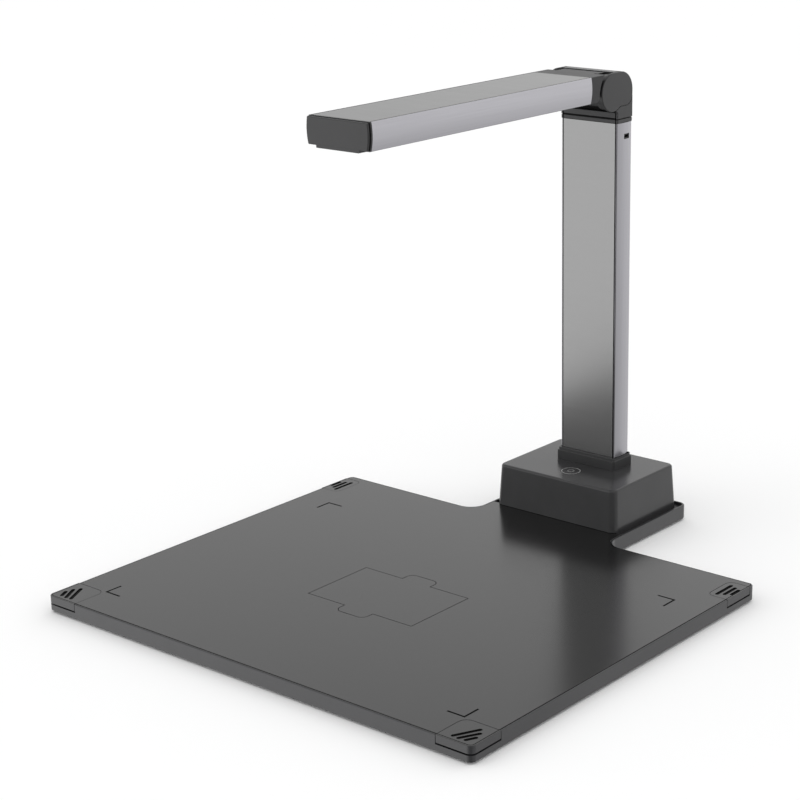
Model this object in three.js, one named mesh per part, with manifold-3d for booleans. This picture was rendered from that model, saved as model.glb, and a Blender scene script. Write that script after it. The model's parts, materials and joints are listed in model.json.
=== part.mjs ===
// A book scanner: a document camera on a folding arm above a hard page plate.
// Millimetres, +Z up, +X to the user's right, +Y from the user towards the column.
// The origin is the middle of the outer box, at the level of the surface that the feet stand on.
import * as THREE from "three";
import { mergeVertices } from "three/addons/utils/BufferGeometryUtils.js";
import Module from "manifold-3d";

const wasm = await Module();
wasm.setup();

// ---------------------------------------------------------------- driving dimensions

const GAP = 0.3; // between pieces that touch on the real object
const SEAM = 0.4; // a seam that shows as a line

const plate = { width: 350, depth: 290, thick: 10.4, corner: 4, standoff: 1.2, floor: 2, wall: 2.6 };
const tab = { half: 57.5, depth: 101, corner: 6, fillet: 12, lip: 1.6 };
const sheet = { thick: 1.4, inset: 1.5, ribWidth: 1.6, ribDrop: 4.8 };
const page = { width: 297, height: 210, centreY: -64.1, arm: 12.4, line: 1 };
const card = { width: 86.8, height: 55.6, bulgeHalf: 11.8, bulge: 9.2, bulgeRound: 5, line: 0.7 };
const groove = 0.4; // depth of the marks in the sheet
const ribs = { x: [-110, -37, 37, 110], y: [-130, -64, 0, 60] };

const front = -(plate.depth + tab.depth) / 2;
const backEdge = front + plate.depth;
const rear = backEdge + tab.depth;
const plateBottom = plate.standoff;
const plateTop = plateBottom + plate.thick;
const floorTop = plateBottom + plate.floor;
const sheetBottom = plateTop - sheet.thick;

const foot = { radius: 6, pocket: 1.1 };
const ballast = { width: 290, depth: 220, thick: 1.5, centreY: -58 };

const clip = {
  skin: 2, wall: 1.6, undercut: 0.9, ledge: 4.4, stripe: 1.6, stripeDepth: 0.8,
  pinRadius: 1, pinHeight: plateTop - 4.6, bossHalf: 2.6, postLength: 2.4, springLength: 1.4,
};
const frontClip = { width: 25.6, depth: 25.7, inner: 6, axis: [16.5, 15.5], bossLength: 9 };
const rearClip = { width: 15.5, near: 6.2, far: 33.2, inner: 5, axis: [10.8, 19.7], bossLength: 11 };
// The ends of each ribbed stripe, measured inwards from the plate's side edge and its front or back edge.
const frontStripes = [[[16.9, 4.8], [9.5, 19.3]], [[12.7, 4.4], [6.6, 15.5]], [[8, 5], [5.3, 10.3]]];
const rearStripes = [[[10.4, 12], [10.4, 29]], [[6.3, 14], [6.3, 26.5]], [[2.5, 16], [2.5, 24.2]]];

const housing = {
  half: 51.5, front: 112.7, back: 191, lean: 0.054, top: 41.6, bottom: 6, corner: 5, edge: 1.2, wall: 2.2,
};
const touch = { y: 132.7, radius: 7.2, thick: 2 };
const column = { half: 23.65, front: 152.5, back: 170, wall: 1.8, bottom: 9, top: 286.6 };
const strip = { thick: 1.6, lip: 0.5 };
const collar = { half: 24.9, front: 149.7, back: 172.1, top: 50.2, bevel: 1.6 };
const sidePort = { y: 163.1, z: 277.3, width: 6.4, height: 3.4, depth: 9 };
const plug = { top: 289.3, spigot: 6 };

// The slot is the open line across the roof, between the arm's block and the bridge of the head.
const hinge = {
  y: 147.2, z: 308.4, radius: 13, clear: 3.2, cheekInner: 16.6, cheekOuter: 21, capOuter: 23.65, barrel: 10.2,
  shaft: 3, head: 5, slot: 146.7, slotWidth: 4,
};
const neck = {
  bottom: 289.8, top: 294.2, front: 152.6, back: 169.8, half: 23.5, round: 13.3, fillet: 3,
  capBottom: 298.2, capRound: 7.5, ledge: 2, wall: 2,
};
const webEnd = THREE.MathUtils.degToRad(193); // lower end of the web between barrel and arm
const arm = {
  tip: -98.2, capThick: 3, root: 121.2, top: hinge.z + hinge.radius, bottom: 303.8,
  topHalf: 24.2, midHalf: 25, bottomHalf: 23.7, midZ: 313.4, edge: 0.8, wallInner: 22.2, web: 1.6,
};
const armStrip = { thick: 1.5, half: 23.2 };
const cover = { half: 17, back: -14.3, drop: 1.1, thick: 2.4 };
const camera = { y: page.centreY, windowRadius: 8.8, board: 30 };
const diffuserY = [camera.y - 19, camera.y + 19];

const boardHeight = 14;
const boardThick = 1.6;
const boardPosts = [[-38, 123], [38, 123], [-38, 144], [38, 144], [-30, 184], [30, 184]];
const usb = { x: -18, z: 17.6, y0: 180, y1: 189.4 };
const power = { x: 18, z: 20.4, radius: 4.4, y0: 178, y1: 189.6 };
const screwsAt = [-28, 28];
const screwY = (column.front + column.back) / 2;
const feet = [
  [-150, front + 26], [150, front + 26], [-150, backEdge - 40], [150, backEdge - 40],
  [-44, rear - 12], [44, rear - 12],
];

// ---------------------------------------------------------------- materials

const finish = (color, roughness, metalness) => new THREE.MeshStandardMaterial({ color, roughness, metalness });
const materials = {
  plastic: finish(0x3a3a3c, 0.45, 0),
  plate: finish(0x4a4a4a, 0.4, 0),
  rubber: finish(0x1c1c1c, 0.9, 0),
  steel: finish(0x9a9a9c, 0.4, 1),
  aluminium: finish(0xb4b4bb, 0.35, 1),
  brushed: finish(0xa6a6a4, 0.45, 1),
  board: finish(0x1f5a34, 0.6, 0),
  glass: finish(0x202428, 0.05, 0),
  diffuser: finish(0xe8e8e4, 0.5, 0),
  brass: finish(0xb08d4a, 0.4, 1),
  ribbon: finish(0x8a6a35, 0.5, 0),
};

// ---------------------------------------------------------------- solids

function solid(geometry) {
  const bare = new THREE.BufferGeometry();
  bare.setAttribute("position", geometry.getAttribute("position"));
  if (geometry.index) bare.setIndex(geometry.index);
  const merged = mergeVertices(bare, 1e-4);
  const vertProperties = new Float32Array(merged.attributes.position.array);
  const make = (triVerts) => new wasm.Manifold(new wasm.Mesh({ numProp: 3, vertProperties, triVerts }));
  const triVerts = new Uint32Array(merged.index.array);
  const made = make(triVerts);
  return made.volume() < 0 ? make(triVerts.reverse()) : made;
}
const join = (first, ...rest) => rest.reduce((sum, piece) => sum.add(piece), first);
const cut = (first, ...rest) => rest.reduce((left, piece) => left.subtract(piece), first);

const block = (x0, x1, y0, y1, z0, z1) =>
  solid(new THREE.BoxGeometry(x1 - x0, y1 - y0, z1 - z0).translate((x0 + x1) / 2, (y0 + y1) / 2, (z0 + z1) / 2));

// Shapes drawn in XY, YZ or XZ, and extruded along the third axis.
function prismZ(shape, z0, z1, curveSegments = 4) {
  return solid(new THREE.ExtrudeGeometry(shape, { depth: z1 - z0, bevelEnabled: false, curveSegments })
    .translate(0, 0, z0));
}
const yzToX = new THREE.Matrix4().makeBasis(
  new THREE.Vector3(0, 1, 0), new THREE.Vector3(0, 0, 1), new THREE.Vector3(1, 0, 0));
function prismX(shape, x0, x1, curveSegments = 14) {
  return solid(new THREE.ExtrudeGeometry(shape, { depth: x1 - x0, bevelEnabled: false, curveSegments })
    .applyMatrix4(yzToX).translate(x0, 0, 0));
}
function prismY(shape, y0, y1, curveSegments = 5) {
  return solid(new THREE.ExtrudeGeometry(shape, { depth: y1 - y0, bevelEnabled: false, curveSegments })
    .rotateX(Math.PI / 2).translate(0, y1, 0));
}
const rodX = (radius, x0, x1, y, z, sides = 18) =>
  solid(new THREE.CylinderGeometry(radius, radius, x1 - x0, sides).rotateZ(Math.PI / 2)
    .translate((x0 + x1) / 2, y, z));
const rodZ = (radius, x, y, z0, z1, sides = 16) =>
  solid(new THREE.CylinderGeometry(radius, radius, z1 - z0, sides).rotateX(Math.PI / 2)
    .translate(x, y, (z0 + z1) / 2));
const rodY = (radius, x, y0, y1, z, sides = 16) =>
  solid(new THREE.CylinderGeometry(radius, radius, y1 - y0, sides).translate(x, (y0 + y1) / 2, z));

function polygon(points) {
  return new THREE.Shape(points.map(([x, y]) => new THREE.Vector2(x, y)));
}

// A rectangle whose corners each have their own radius, from the low-low corner round anticlockwise.
function roundedRectangle(x0, x1, y0, y1, radii) {
  const [a, b, c, d] = Array.isArray(radii) ? radii : [radii, radii, radii, radii];
  const shape = new THREE.Shape();
  shape.moveTo(x0 + a, y0);
  shape.lineTo(x1 - b, y0).absarc(x1 - b, y0 + b, b, -Math.PI / 2, 0);
  shape.lineTo(x1, y1 - c).absarc(x1 - c, y1 - c, c, 0, Math.PI / 2);
  shape.lineTo(x0 + d, y1).absarc(x0 + d, y1 - d, d, Math.PI / 2, Math.PI);
  shape.lineTo(x0, y0 + a).absarc(x0 + a, y0 + a, a, Math.PI, 1.5 * Math.PI);
  return shape;
}

// A straight bar with round ends, from one point to another.
function bar([ax, ay], [bx, by], width) {
  const along = Math.atan2(by - ay, bx - ax);
  const r = width / 2;
  const shape = new THREE.Shape();
  shape.absarc(bx, by, r, along - Math.PI / 2, along + Math.PI / 2);
  shape.absarc(ax, ay, r, along + Math.PI / 2, along + 1.5 * Math.PI);
  return shape;
}

// A closed skin through rings of the same number of points, each ring level and anticlockwise from above.
function loft(rings) {
  const n = rings[0].length;
  const index = [];
  for (let k = 0; k + 1 < rings.length; k++)
    for (let i = 0; i < n; i++) {
      const a = k * n + i;
      const b = k * n + ((i + 1) % n);
      index.push(a, b, b + n, a, b + n, a + n);
    }
  const last = (rings.length - 1) * n;
  for (let i = 1; i + 1 < n; i++) index.push(0, i + 1, i, last, last + i, last + i + 1);
  const geometry = new THREE.BufferGeometry();
  geometry.setAttribute("position", new THREE.Float32BufferAttribute(rings.flat(2), 3));
  geometry.setIndex(index);
  return solid(geometry);
}
function ring(x0, x1, y0, y1, radius, z) {
  const points = roundedRectangle(x0, x1, y0, y1, radius).getPoints(4);
  if (points[0].distanceTo(points.at(-1)) < 1e-6) points.pop();
  return points.map((p) => [p.x, p.y, z]);
}

const group = new THREE.Group();

function add(name, made, material, parent = group) {
  const { vertProperties, triVerts } = made.getMesh();
  const geometry = new THREE.BufferGeometry();
  geometry.setAttribute("position", new THREE.BufferAttribute(vertProperties, 3));
  geometry.setIndex(new THREE.BufferAttribute(triVerts, 1));
  geometry.computeVertexNormals();
  const mesh = new THREE.Mesh(geometry, material);
  mesh.name = name;
  parent.add(mesh);
}

// ---------------------------------------------------------------- base plate

// Outline of the plate with its tab, moved inwards by an inset.
function plateOutline(inset) {
  const half = plate.width / 2 - inset;
  const low = front + inset;
  const back = backEdge - inset;
  const r = Math.max(plate.corner - inset, 0.6);
  const tabHalf = tab.half - inset;
  const end = rear - inset;
  const c = Math.max(tab.corner - inset, 0.6);
  const f = tab.fillet + inset;
  const shape = new THREE.Shape();
  shape.moveTo(-half + r, low);
  shape.lineTo(half - r, low).absarc(half - r, low + r, r, -Math.PI / 2, 0);
  shape.lineTo(half, back - r).absarc(half - r, back - r, r, 0, Math.PI / 2);
  shape.lineTo(tabHalf + f, back).absarc(tabHalf + f, back + f, f, -Math.PI / 2, -Math.PI, true);
  shape.lineTo(tabHalf, end - c).absarc(tabHalf - c, end - c, c, 0, Math.PI / 2);
  shape.lineTo(-tabHalf + c, end).absarc(-tabHalf + c, end - c, c, Math.PI / 2, Math.PI);
  shape.lineTo(-tabHalf, back + f).absarc(-tabHalf - f, back + f, f, 0, -Math.PI / 2, true);
  shape.lineTo(-half + r, back).absarc(-half + r, back - r, r, Math.PI / 2, Math.PI);
  shape.lineTo(-half, low + r).absarc(-half + r, low + r, r, Math.PI, 1.5 * Math.PI);
  return shape;
}

// The four corner pieces: where each corner is, and which way is inwards.
const corners = [
  { name: "front_left", x: -plate.width / 2, y: front, inX: 1, inY: 1, kind: frontClip },
  { name: "front_right", x: plate.width / 2, y: front, inX: -1, inY: 1, kind: frontClip },
  { name: "rear_left", x: -plate.width / 2, y: backEdge, inX: 1, inY: -1, kind: rearClip },
  { name: "rear_right", x: plate.width / 2, y: backEdge, inX: -1, inY: -1, kind: rearClip },
];

// A clip's outline in its corner's own frame, grown by a margin all round.
function clipOutline(kind, grow) {
  if (kind === frontClip) {
    const outer = grow > 0 ? 0.3 : plate.corner;
    return roundedRectangle(
      -grow * 5, kind.width - GAP + grow, -grow * 5, kind.depth - GAP + grow, [outer, 0.3, kind.inner, 0.3]);
  }
  return roundedRectangle(
    -grow * 5, kind.width - GAP + grow, kind.near - grow, kind.far - GAP + grow,
    [0.3, kind.inner, kind.inner, 0.3]);
}

// Turns a solid made in a corner's own frame into the part's frame.
function toCorner(geometrySolid, corner) {
  const { vertProperties, triVerts } = geometrySolid.getMesh();
  const placed = Float32Array.from(vertProperties, (value, i) =>
    i % 3 === 0 ? corner.x + corner.inX * value : i % 3 === 1 ? corner.y + corner.inY * value : value);
  const geometry = new THREE.BufferGeometry();
  geometry.setAttribute("position", new THREE.BufferAttribute(placed, 3));
  geometry.setIndex(new THREE.BufferAttribute(Uint32Array.from(triVerts), 1));
  return solid(geometry);
}

// Direction of a clip's rocking axis in its corner's frame: along its stripes.
function clipAxis(kind) {
  const [[ax, ay], [bx, by]] = (kind === frontClip ? frontStripes : rearStripes)[0];
  return Math.atan2(by - ay, bx - ax);
}

// A solid drawn along +X about the origin, laid along a clip's axis at the height of its pin.
function alongAxis(geometry, kind) {
  geometry.rotateZ(clipAxis(kind)).translate(kind.axis[0], kind.axis[1], clip.pinHeight);
  return solid(geometry);
}
const axisRod = (kind, radius, from, to, sides = 10) =>
  alongAxis(new THREE.CylinderGeometry(radius, radius, to - from, sides).rotateZ(Math.PI / 2)
    .translate((from + to) / 2, 0, 0), kind);
const axisBlock = (kind, from, to, half, low, high) =>
  alongAxis(new THREE.BoxGeometry(to - from, 2 * half, high - low)
    .translate((from + to) / 2, 0, (low + high) / 2 - clip.pinHeight), kind);

const postStart = (kind) => kind.bossLength / 2 + clip.springLength + 2 * GAP;

function buildClip(corner, body) {
  const { kind } = corner;
  const stripes = kind === frontClip ? frontStripes : rearStripes;
  const ledge = plateBottom + clip.ledge;
  const outline = clipOutline(kind, 0);
  const skin = prismZ(outline, plateTop - clip.skin, plateTop);
  const skirt = prismZ(outline, ledge + clip.undercut, plateTop - clip.skin);
  const keepOuter = kind === frontClip
    ? join(block(-1, clip.wall, -1, 40, 0, 20), block(-1, 40, -1, clip.wall, 0, 20))
    : block(-1, clip.wall, -1, 40, 0, 20);
  const boss = axisBlock(kind, -kind.bossLength / 2, kind.bossLength / 2, clip.bossHalf,
    clip.pinHeight - 2, plateTop - clip.skin);
  const bore = axisRod(kind, clip.pinRadius + GAP, -20, 20);
  const cuts = stripes.map(([from, to]) =>
    prismZ(bar(from, to, clip.stripe), plateTop - clip.stripeDepth, plateTop + 1, 2));
  const made = cut(join(skin, skirt.intersect(keepOuter), boss), bore.intersect(boss), ...cuts);
  add("corner_clip_" + corner.name, toCorner(made, corner), materials.plate, body);

  const end = postStart(kind) + clip.postLength;
  const pin = axisRod(kind, clip.pinRadius, -end, end);
  add("clip_pin_" + corner.name, toCorner(pin, corner), materials.steel, body);

  const coilFrom = kind.bossLength / 2 + GAP;
  const coil = cut(axisRod(kind, 2.2, coilFrom, coilFrom + clip.springLength),
    axisRod(kind, clip.pinRadius + GAP, coilFrom - 1, coilFrom + clip.springLength + 1));
  add("clip_spring_" + corner.name, toCorner(coil, corner), materials.steel, body);
}

// Posts of the shell that hold a clip's pin.
function clipPosts(corner) {
  const { kind } = corner;
  const from = postStart(kind);
  const to = from + clip.postLength;
  const post = (a, b) => axisBlock(kind, a, b, 2.2, floorTop - 0.5, clip.pinHeight + 1.1);
  const hole = axisRod(kind, clip.pinRadius + GAP, -30, 30);
  return toCorner(cut(join(post(from, to), post(-to, -from)), hole), corner);
}

function buildPlateShell(body) {
  const crossWall = housing.front + 2.4;
  const rim = plateTop - GAP;
  let shell = prismZ(plateOutline(0), plateBottom, rim);
  const hollow = prismZ(plateOutline(plate.wall), floorTop, rim + 1);
  const tabHollow = prismZ(plateOutline(tab.lip), floorTop, rim + 1)
    .intersect(block(-plate.width, plate.width, crossWall, rear + 1, 0, 30));
  const plateHollow = hollow.intersect(block(-plate.width, plate.width, front - 1, crossWall - 2.4, 0, 30));
  const rabbet = prismZ(plateOutline(sheet.inset - SEAM), sheetBottom - GAP, rim + 1)
    .intersect(block(-plate.width, plate.width, front - 1, crossWall + 0.1, 0, 30));
  shell = cut(shell, plateHollow, tabHollow, rabbet);
  for (const corner of corners) {
    const window = prismZ(clipOutline(corner.kind, SEAM / 2), plateBottom + clip.ledge, plateTop + 1);
    shell = join(cut(shell, toCorner(window, corner)), clipPosts(corner));
  }
  for (const [x, y] of boardPosts) shell = join(shell, rodZ(2.6, x, y, floorTop - 0.5, boardHeight - GAP, 8));
  const pocketTop = plateBottom + foot.pocket;
  for (const [x, y] of feet) shell = cut(shell, rodZ(foot.radius + GAP, x, y, 0, pocketTop, 14));
  for (const x of screwsAt) shell = cut(shell, rodZ(2, x, screwY, plateBottom + 0.8, floorTop + 1, 12));
  add("base_plate_shell", shell, materials.plate, body);
}

// Line work of the page corners and of the card pocket, as narrow bars.
function marks() {
  const cutBars = [];
  const sink = (shape) => cutBars.push(prismZ(shape, plateTop - groove, plateTop + 1));
  for (const sx of [-1, 1])
    for (const sy of [-1, 1]) {
      const x = (sx * page.width) / 2;
      const y = page.centreY + (sy * page.height) / 2;
      const w = page.line / 2;
      sink(polygon([[-1, -1], [1, -1], [1, 1], [-1, 1]].map(([a, b]) =>
        [x - sx * page.arm / 2 + a * (page.arm / 2 + w), y + b * w])));
      sink(polygon([[-1, -1], [1, -1], [1, 1], [-1, 1]].map(([a, b]) =>
        [x + a * w, y - sy * page.arm / 2 + b * (page.arm / 2 + w)])));
    }
  const loop = cardOutline(card.line / 2);
  loop.holes.push(cardOutline(-card.line / 2));
  sink(loop);
  return cutBars;
}

// A rectangle for a card, with a rounded finger bulge in the middle of each long edge.
function cardOutline(grow) {
  const x = card.width / 2 + grow;
  const y = card.height / 2 + grow;
  const bx = card.bulgeHalf + grow;
  const by = y + card.bulge;
  const r = card.bulgeRound + grow;
  const shape = new THREE.Shape();
  for (const s of [-1, 1]) {
    const start = s < 0 ? Math.PI : 0;
    const go = s < 0 ? "moveTo" : "lineTo";
    shape[go](s * x, page.centreY + s * y);
    shape.lineTo(s * bx, page.centreY + s * y);
    shape.lineTo(s * bx, page.centreY + s * (by - r));
    shape.absarc(s * (bx - r), page.centreY + s * (by - r), r, start, start + Math.PI / 2);
    shape.absarc(-s * (bx - r), page.centreY + s * (by - r), r, start + Math.PI / 2, start + Math.PI);
    shape.lineTo(-s * bx, page.centreY + s * y);
    shape.lineTo(-s * x, page.centreY + s * y);
  }
  return shape;
}

function buildTopSheet(body) {
  const end = housing.front + 2.4;
  let made = prismZ(plateOutline(sheet.inset), sheetBottom, plateTop)
    .intersect(block(-plate.width, plate.width, front - 1, end, 0, 30));
  const low = sheetBottom - sheet.ribDrop;
  const margin = 8;
  const half = plate.width / 2 - margin;
  for (const x of ribs.x)
    made = join(made, block(x - sheet.ribWidth / 2, x + sheet.ribWidth / 2, front + margin, backEdge - margin,
      low, sheetBottom + 0.2));
  for (const y of ribs.y)
    made = join(made, block(-half, half, y - sheet.ribWidth / 2, y + sheet.ribWidth / 2,
      low, sheetBottom + 0.2));
  for (const corner of corners)
    made = cut(made, toCorner(prismZ(clipOutline(corner.kind, SEAM / 2), 0, 30), corner));
  add("plate_top_sheet", cut(made, ...marks()), materials.plate, body);
}

function buildBallast(body) {
  const z = floorTop + GAP;
  const shape = roundedRectangle(-ballast.width / 2, ballast.width / 2,
    ballast.centreY - ballast.depth / 2, ballast.centreY + ballast.depth / 2, 6);
  add("ballast_plate", prismZ(shape, z, z + ballast.thick, 3), materials.steel, body);
}

function buildFeet(body) {
  const names = ["front_left", "front_right", "middle_left", "middle_right", "rear_left", "rear_right"];
  const top = plateBottom + foot.pocket - GAP;
  feet.forEach(([x, y], i) => {
    const profile = [[0, 0], [foot.radius - 0.5, 0], [foot.radius, 0.5], [foot.radius, top], [0, top]]
      .map(([r, h]) => new THREE.Vector2(r, h));
    const made = solid(new THREE.LatheGeometry(profile, 14).rotateX(Math.PI / 2).translate(x, y, 0));
    add("foot_" + names[i], made, materials.rubber, body);
  });
}

// ---------------------------------------------------------------- base unit

// The housing's four sides lean inwards with height; this is one level ring of them.
function housingRing(z, inset) {
  const lean = (z - plateTop) * housing.lean;
  return ring(-housing.half + lean + inset, housing.half - lean - inset,
    housing.front + lean + inset, housing.back - lean - inset, Math.max(housing.corner - inset, 0.8), z);
}

function buildHousing(body) {
  const { top, edge } = housing;
  const outer = loft([
    housingRing(housing.bottom, 0), housingRing(top - edge, 0),
    housingRing(top - edge * 0.3, edge * 0.3), housingRing(top, edge),
  ]);
  const inner = loft([
    housingRing(housing.bottom - 1, housing.wall), housingRing(top - housing.wall, housing.wall),
  ]);
  const stepFront = block(-80, 80, 0, housing.front + 2.9, 0, plateTop + GAP);
  const columnHole = block(-column.half - SEAM, column.half + SEAM, column.front - SEAM, column.back + SEAM, 30, 60);
  const keyHole = rodZ(touch.radius + SEAM, 0, touch.y, 30, 60, 24);
  const usbHole = prismY(roundedRectangle(usb.x - 5, usb.x + 5, usb.z - 2.1, usb.z + 2.1, 1.8), 180, 200, 3);
  const powerHole = rodY(power.radius + GAP, power.x, 180, 200, power.z, 20);
  add("base_housing", cut(outer, inner, stepFront, columnHole, keyHole, usbHole, powerHole), materials.plastic, body);
}

function buildTouchKey(body) {
  add("touch_key", rodZ(touch.radius, 0, touch.y, housing.top - touch.thick, housing.top, 24), materials.plastic, body);
  const under = housing.top - touch.thick - 1.6;
  const board = join(block(-11, 11, touch.y - 9, touch.y + 9, under - 1.2, under),
    rodZ(5.5, 0, touch.y, under - 0.2, under + 1, 16));
  add("touch_board", board, materials.board, body);
}

function buildBoards(body) {
  const z = boardHeight;
  const chips = [
    block(-30, -16, 128, 140, z + boardThick - 0.2, z + boardThick + 1.6),
    block(-6, 8, 126, 139, z + boardThick - 0.2, z + boardThick + 1.2),
    block(18, 30, 136, 143, z + boardThick - 0.2, z + boardThick + 6),
    block(16, 22, 124, 131, z + boardThick - 0.2, z + boardThick + 2.4),
  ];
  add("main_board", join(block(-42, 42, 120, 147, z, z + boardThick), ...chips), materials.board, body);
  add("port_board", block(-34, 34, 174.5, 188, z, z + boardThick), materials.board, body);
  const usbShell = cut(
    prismY(roundedRectangle(usb.x - 4.5, usb.x + 4.5, usb.z - 1.65, usb.z + 1.65, 1.5), usb.y0, usb.y1, 2),
    prismY(roundedRectangle(usb.x - 4.1, usb.x + 4.1, usb.z - 1.25, usb.z + 1.25, 1.2), usb.y0 + 1.5, usb.y1 + 1, 2),
  );
  add("usb_socket", join(usbShell, block(usb.x - 3.2, usb.x + 3.2, usb.y0, usb.y1 - 1.5, usb.z - 0.35, usb.z + 0.35)),
    materials.steel, body);
  const jack = cut(
    join(rodY(power.radius, power.x, power.y0, power.y1, power.z, 20),
      block(power.x - 4.2, power.x + 4.2, power.y0, 187.5, z + boardThick + GAP, power.z)),
    rodY(3.1, power.x, power.y0 + 2, power.y1 + 1, power.z, 20),
  );
  add("dc_socket", join(jack, rodY(0.9, power.x, power.y0 + 1, power.y1 - 1, power.z, 8)), materials.plastic, body);
}

function buildColumnFoot(body) {
  const low = floorTop + GAP;
  const base = block(-34, 34, column.front - 3, column.back + 3, low, low + 2.5);
  const tongue = block(-18, 18, column.front + 4.6, column.back - 4, low + 2, 60);
  const holes = screwsAt.map((x) => rodZ(2, x, screwY, 0, low + 4, 12));
  add("column_bracket", cut(join(base, tongue), ...holes), materials.steel, body);
  screwsAt.forEach((x, i) => {
    const screw = join(rodZ(1.6, x, screwY, plateBottom + 1.1, low + 3.2, 12),
      rodZ(3.4, x, screwY, low + 2.8, low + 4.8, 12));
    add("column_screw_" + ["left", "right"][i], screw, materials.steel, body);
  });
}

function buildCollar(body) {
  const z0 = housing.top + GAP;
  const side = (inset, z) => ring(-collar.half + inset, collar.half - inset,
    collar.front + inset, collar.back - inset, 1.2, z);
  const outer = loft([side(0, z0), side(0, collar.top - collar.bevel), side(0.7, collar.top)]);
  const hole = block(-column.half - SEAM, column.half + SEAM, column.front - SEAM, column.back + SEAM, 0, 80);
  add("column_collar", cut(outer, hole), materials.plastic, body);
}

// ---------------------------------------------------------------- column

function buildColumn(body) {
  const { half, front: f, back: b, wall, bottom, top } = column;
  const outer = prismZ(roundedRectangle(-half, half, f, b, [0.3, 0.3, 1.2, 1.2]), bottom, top, 3);
  const inside = block(-half + wall, half - wall, f - 1, b - wall, 0, 400);
  const rabbet = block(-half + strip.lip, half - strip.lip, f - 1, f + strip.thick + GAP, 0, 400);
  const port = block(half - 4, half + 1, sidePort.y - sidePort.width / 2, sidePort.y + sidePort.width / 2,
    sidePort.z - sidePort.height / 2, sidePort.z + sidePort.height / 2);
  add("column_extrusion", cut(outer, inside, rabbet, port), materials.aluminium, body);

  const panelHalf = half - strip.lip - SEAM;
  add("column_front_panel", block(-panelHalf, panelHalf, f, f + strip.thick, bottom, top), materials.brushed, body);

  const y = sidePort.width / 2 - GAP;
  const z = sidePort.height / 2 - GAP;
  const out = half - GAP;
  const shell = cut(
    block(out - sidePort.depth, out, sidePort.y - y, sidePort.y + y, sidePort.z - z, sidePort.z + z),
    block(out - sidePort.depth + 2, out + 1, sidePort.y - y + 0.4, sidePort.y + y - 0.4,
      sidePort.z - z + 0.4, sidePort.z + z - 0.4),
  );
  add("side_port_socket", shell, materials.steel, body);

  const band = prismZ(roundedRectangle(-half, half, f, b, [0.6, 0.6, 1.2, 1.2]), top + GAP, plug.top, 3);
  const spigot = block(-half + wall + GAP, half - wall - GAP, f + strip.thick + 2 * GAP, b - wall - GAP,
    top - plug.spigot, top + 1);
  const way = block(-7, 7, f + 2.4, f + 11, 0, 400);
  add("column_top_plug", cut(join(band, spigot), way), materials.plastic, body);

  add("column_cable", block(-5, 5, f + 2.8, f + 3.2, 20, top - 1), materials.ribbon, body);
}

// ---------------------------------------------------------------- hinge

const around = (angle, radius) => [hinge.y + radius * Math.cos(angle), hinge.z + radius * Math.sin(angle)];

function disc(radius) {
  return new THREE.Shape().absarc(hinge.y, hinge.z, radius, 0, 2 * Math.PI);
}

// The head from the side: a round front about the hinge, a round upper back, and a neck down to the column.
function headShape() {
  const { front: f, back, bottom, round, fillet } = neck;
  const filletY = f - fillet;
  const drop = Math.sqrt((hinge.radius + fillet) ** 2 - (filletY - hinge.y) ** 2);
  const touches = 2 * Math.PI + Math.atan2(-drop, filletY - hinge.y);
  const shape = new THREE.Shape();
  shape.moveTo(f, bottom).lineTo(back, bottom).lineTo(back, arm.top - round);
  shape.absarc(back - round, arm.top - round, round, 0, Math.PI / 2);
  shape.absarc(hinge.y, hinge.z, hinge.radius, Math.PI / 2, touches);
  shape.absarc(filletY, hinge.z - drop, fillet, touches - Math.PI, 0, true);
  return shape;
}

// The cover on each side of the head, grown by a margin: the head's outline down to a line above the neck.
function coverShape(grow) {
  const { back, round, capBottom, capRound } = neck;
  const radius = hinge.radius + grow;
  const low = capBottom - grow;
  const meets = Math.asin((low - hinge.z) / radius) + 2 * Math.PI;
  const shape = new THREE.Shape();
  shape.moveTo(back - capRound, low).absarc(back - capRound, capBottom + capRound, capRound + grow, -Math.PI / 2, 0);
  shape.lineTo(back + grow, arm.top - round).absarc(back - round, arm.top - round, round + grow, 0, Math.PI / 2);
  shape.absarc(hinge.y, hinge.z, radius, Math.PI / 2, meets);
  return shape;
}

function buildBracket(body) {
  const h = hinge;
  const inner = h.cheekInner;
  const head = prismX(headShape(), -neck.half, neck.half, 10);
  const covers = join(
    prismX(coverShape(SEAM), h.cheekOuter, 40, 10), prismX(coverShape(SEAM), -40, -h.cheekOuter, 10));
  // Between the cheeks: room for the barrel and its web, below and behind a bridge that closes the roof.
  const bridge = h.slot + h.slotWidth;
  const opening = prismX(polygon([
    [bridge, h.z], [bridge, h.z + 40], [0, h.z + 40], [0, neck.top], [neck.front + neck.ledge, neck.top],
    [neck.front + neck.ledge, h.z],
  ]), -inner, inner);
  const seat = prismX(disc(h.barrel + 0.5), -inner, inner);
  const hollow = block(-20, 20, neck.front + 7.4, neck.back - neck.wall, neck.bottom - 1, arm.top - 6);
  const way = block(-7, 7, neck.front + 2.4, neck.front + 9, neck.bottom - 1, h.z - 4);
  const bore = rodX(h.shaft + GAP, -40, 40, h.y, h.z);
  add("hinge_bracket", cut(head, covers, opening, seat, hollow, way, bore), materials.plastic, body);
}

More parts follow.
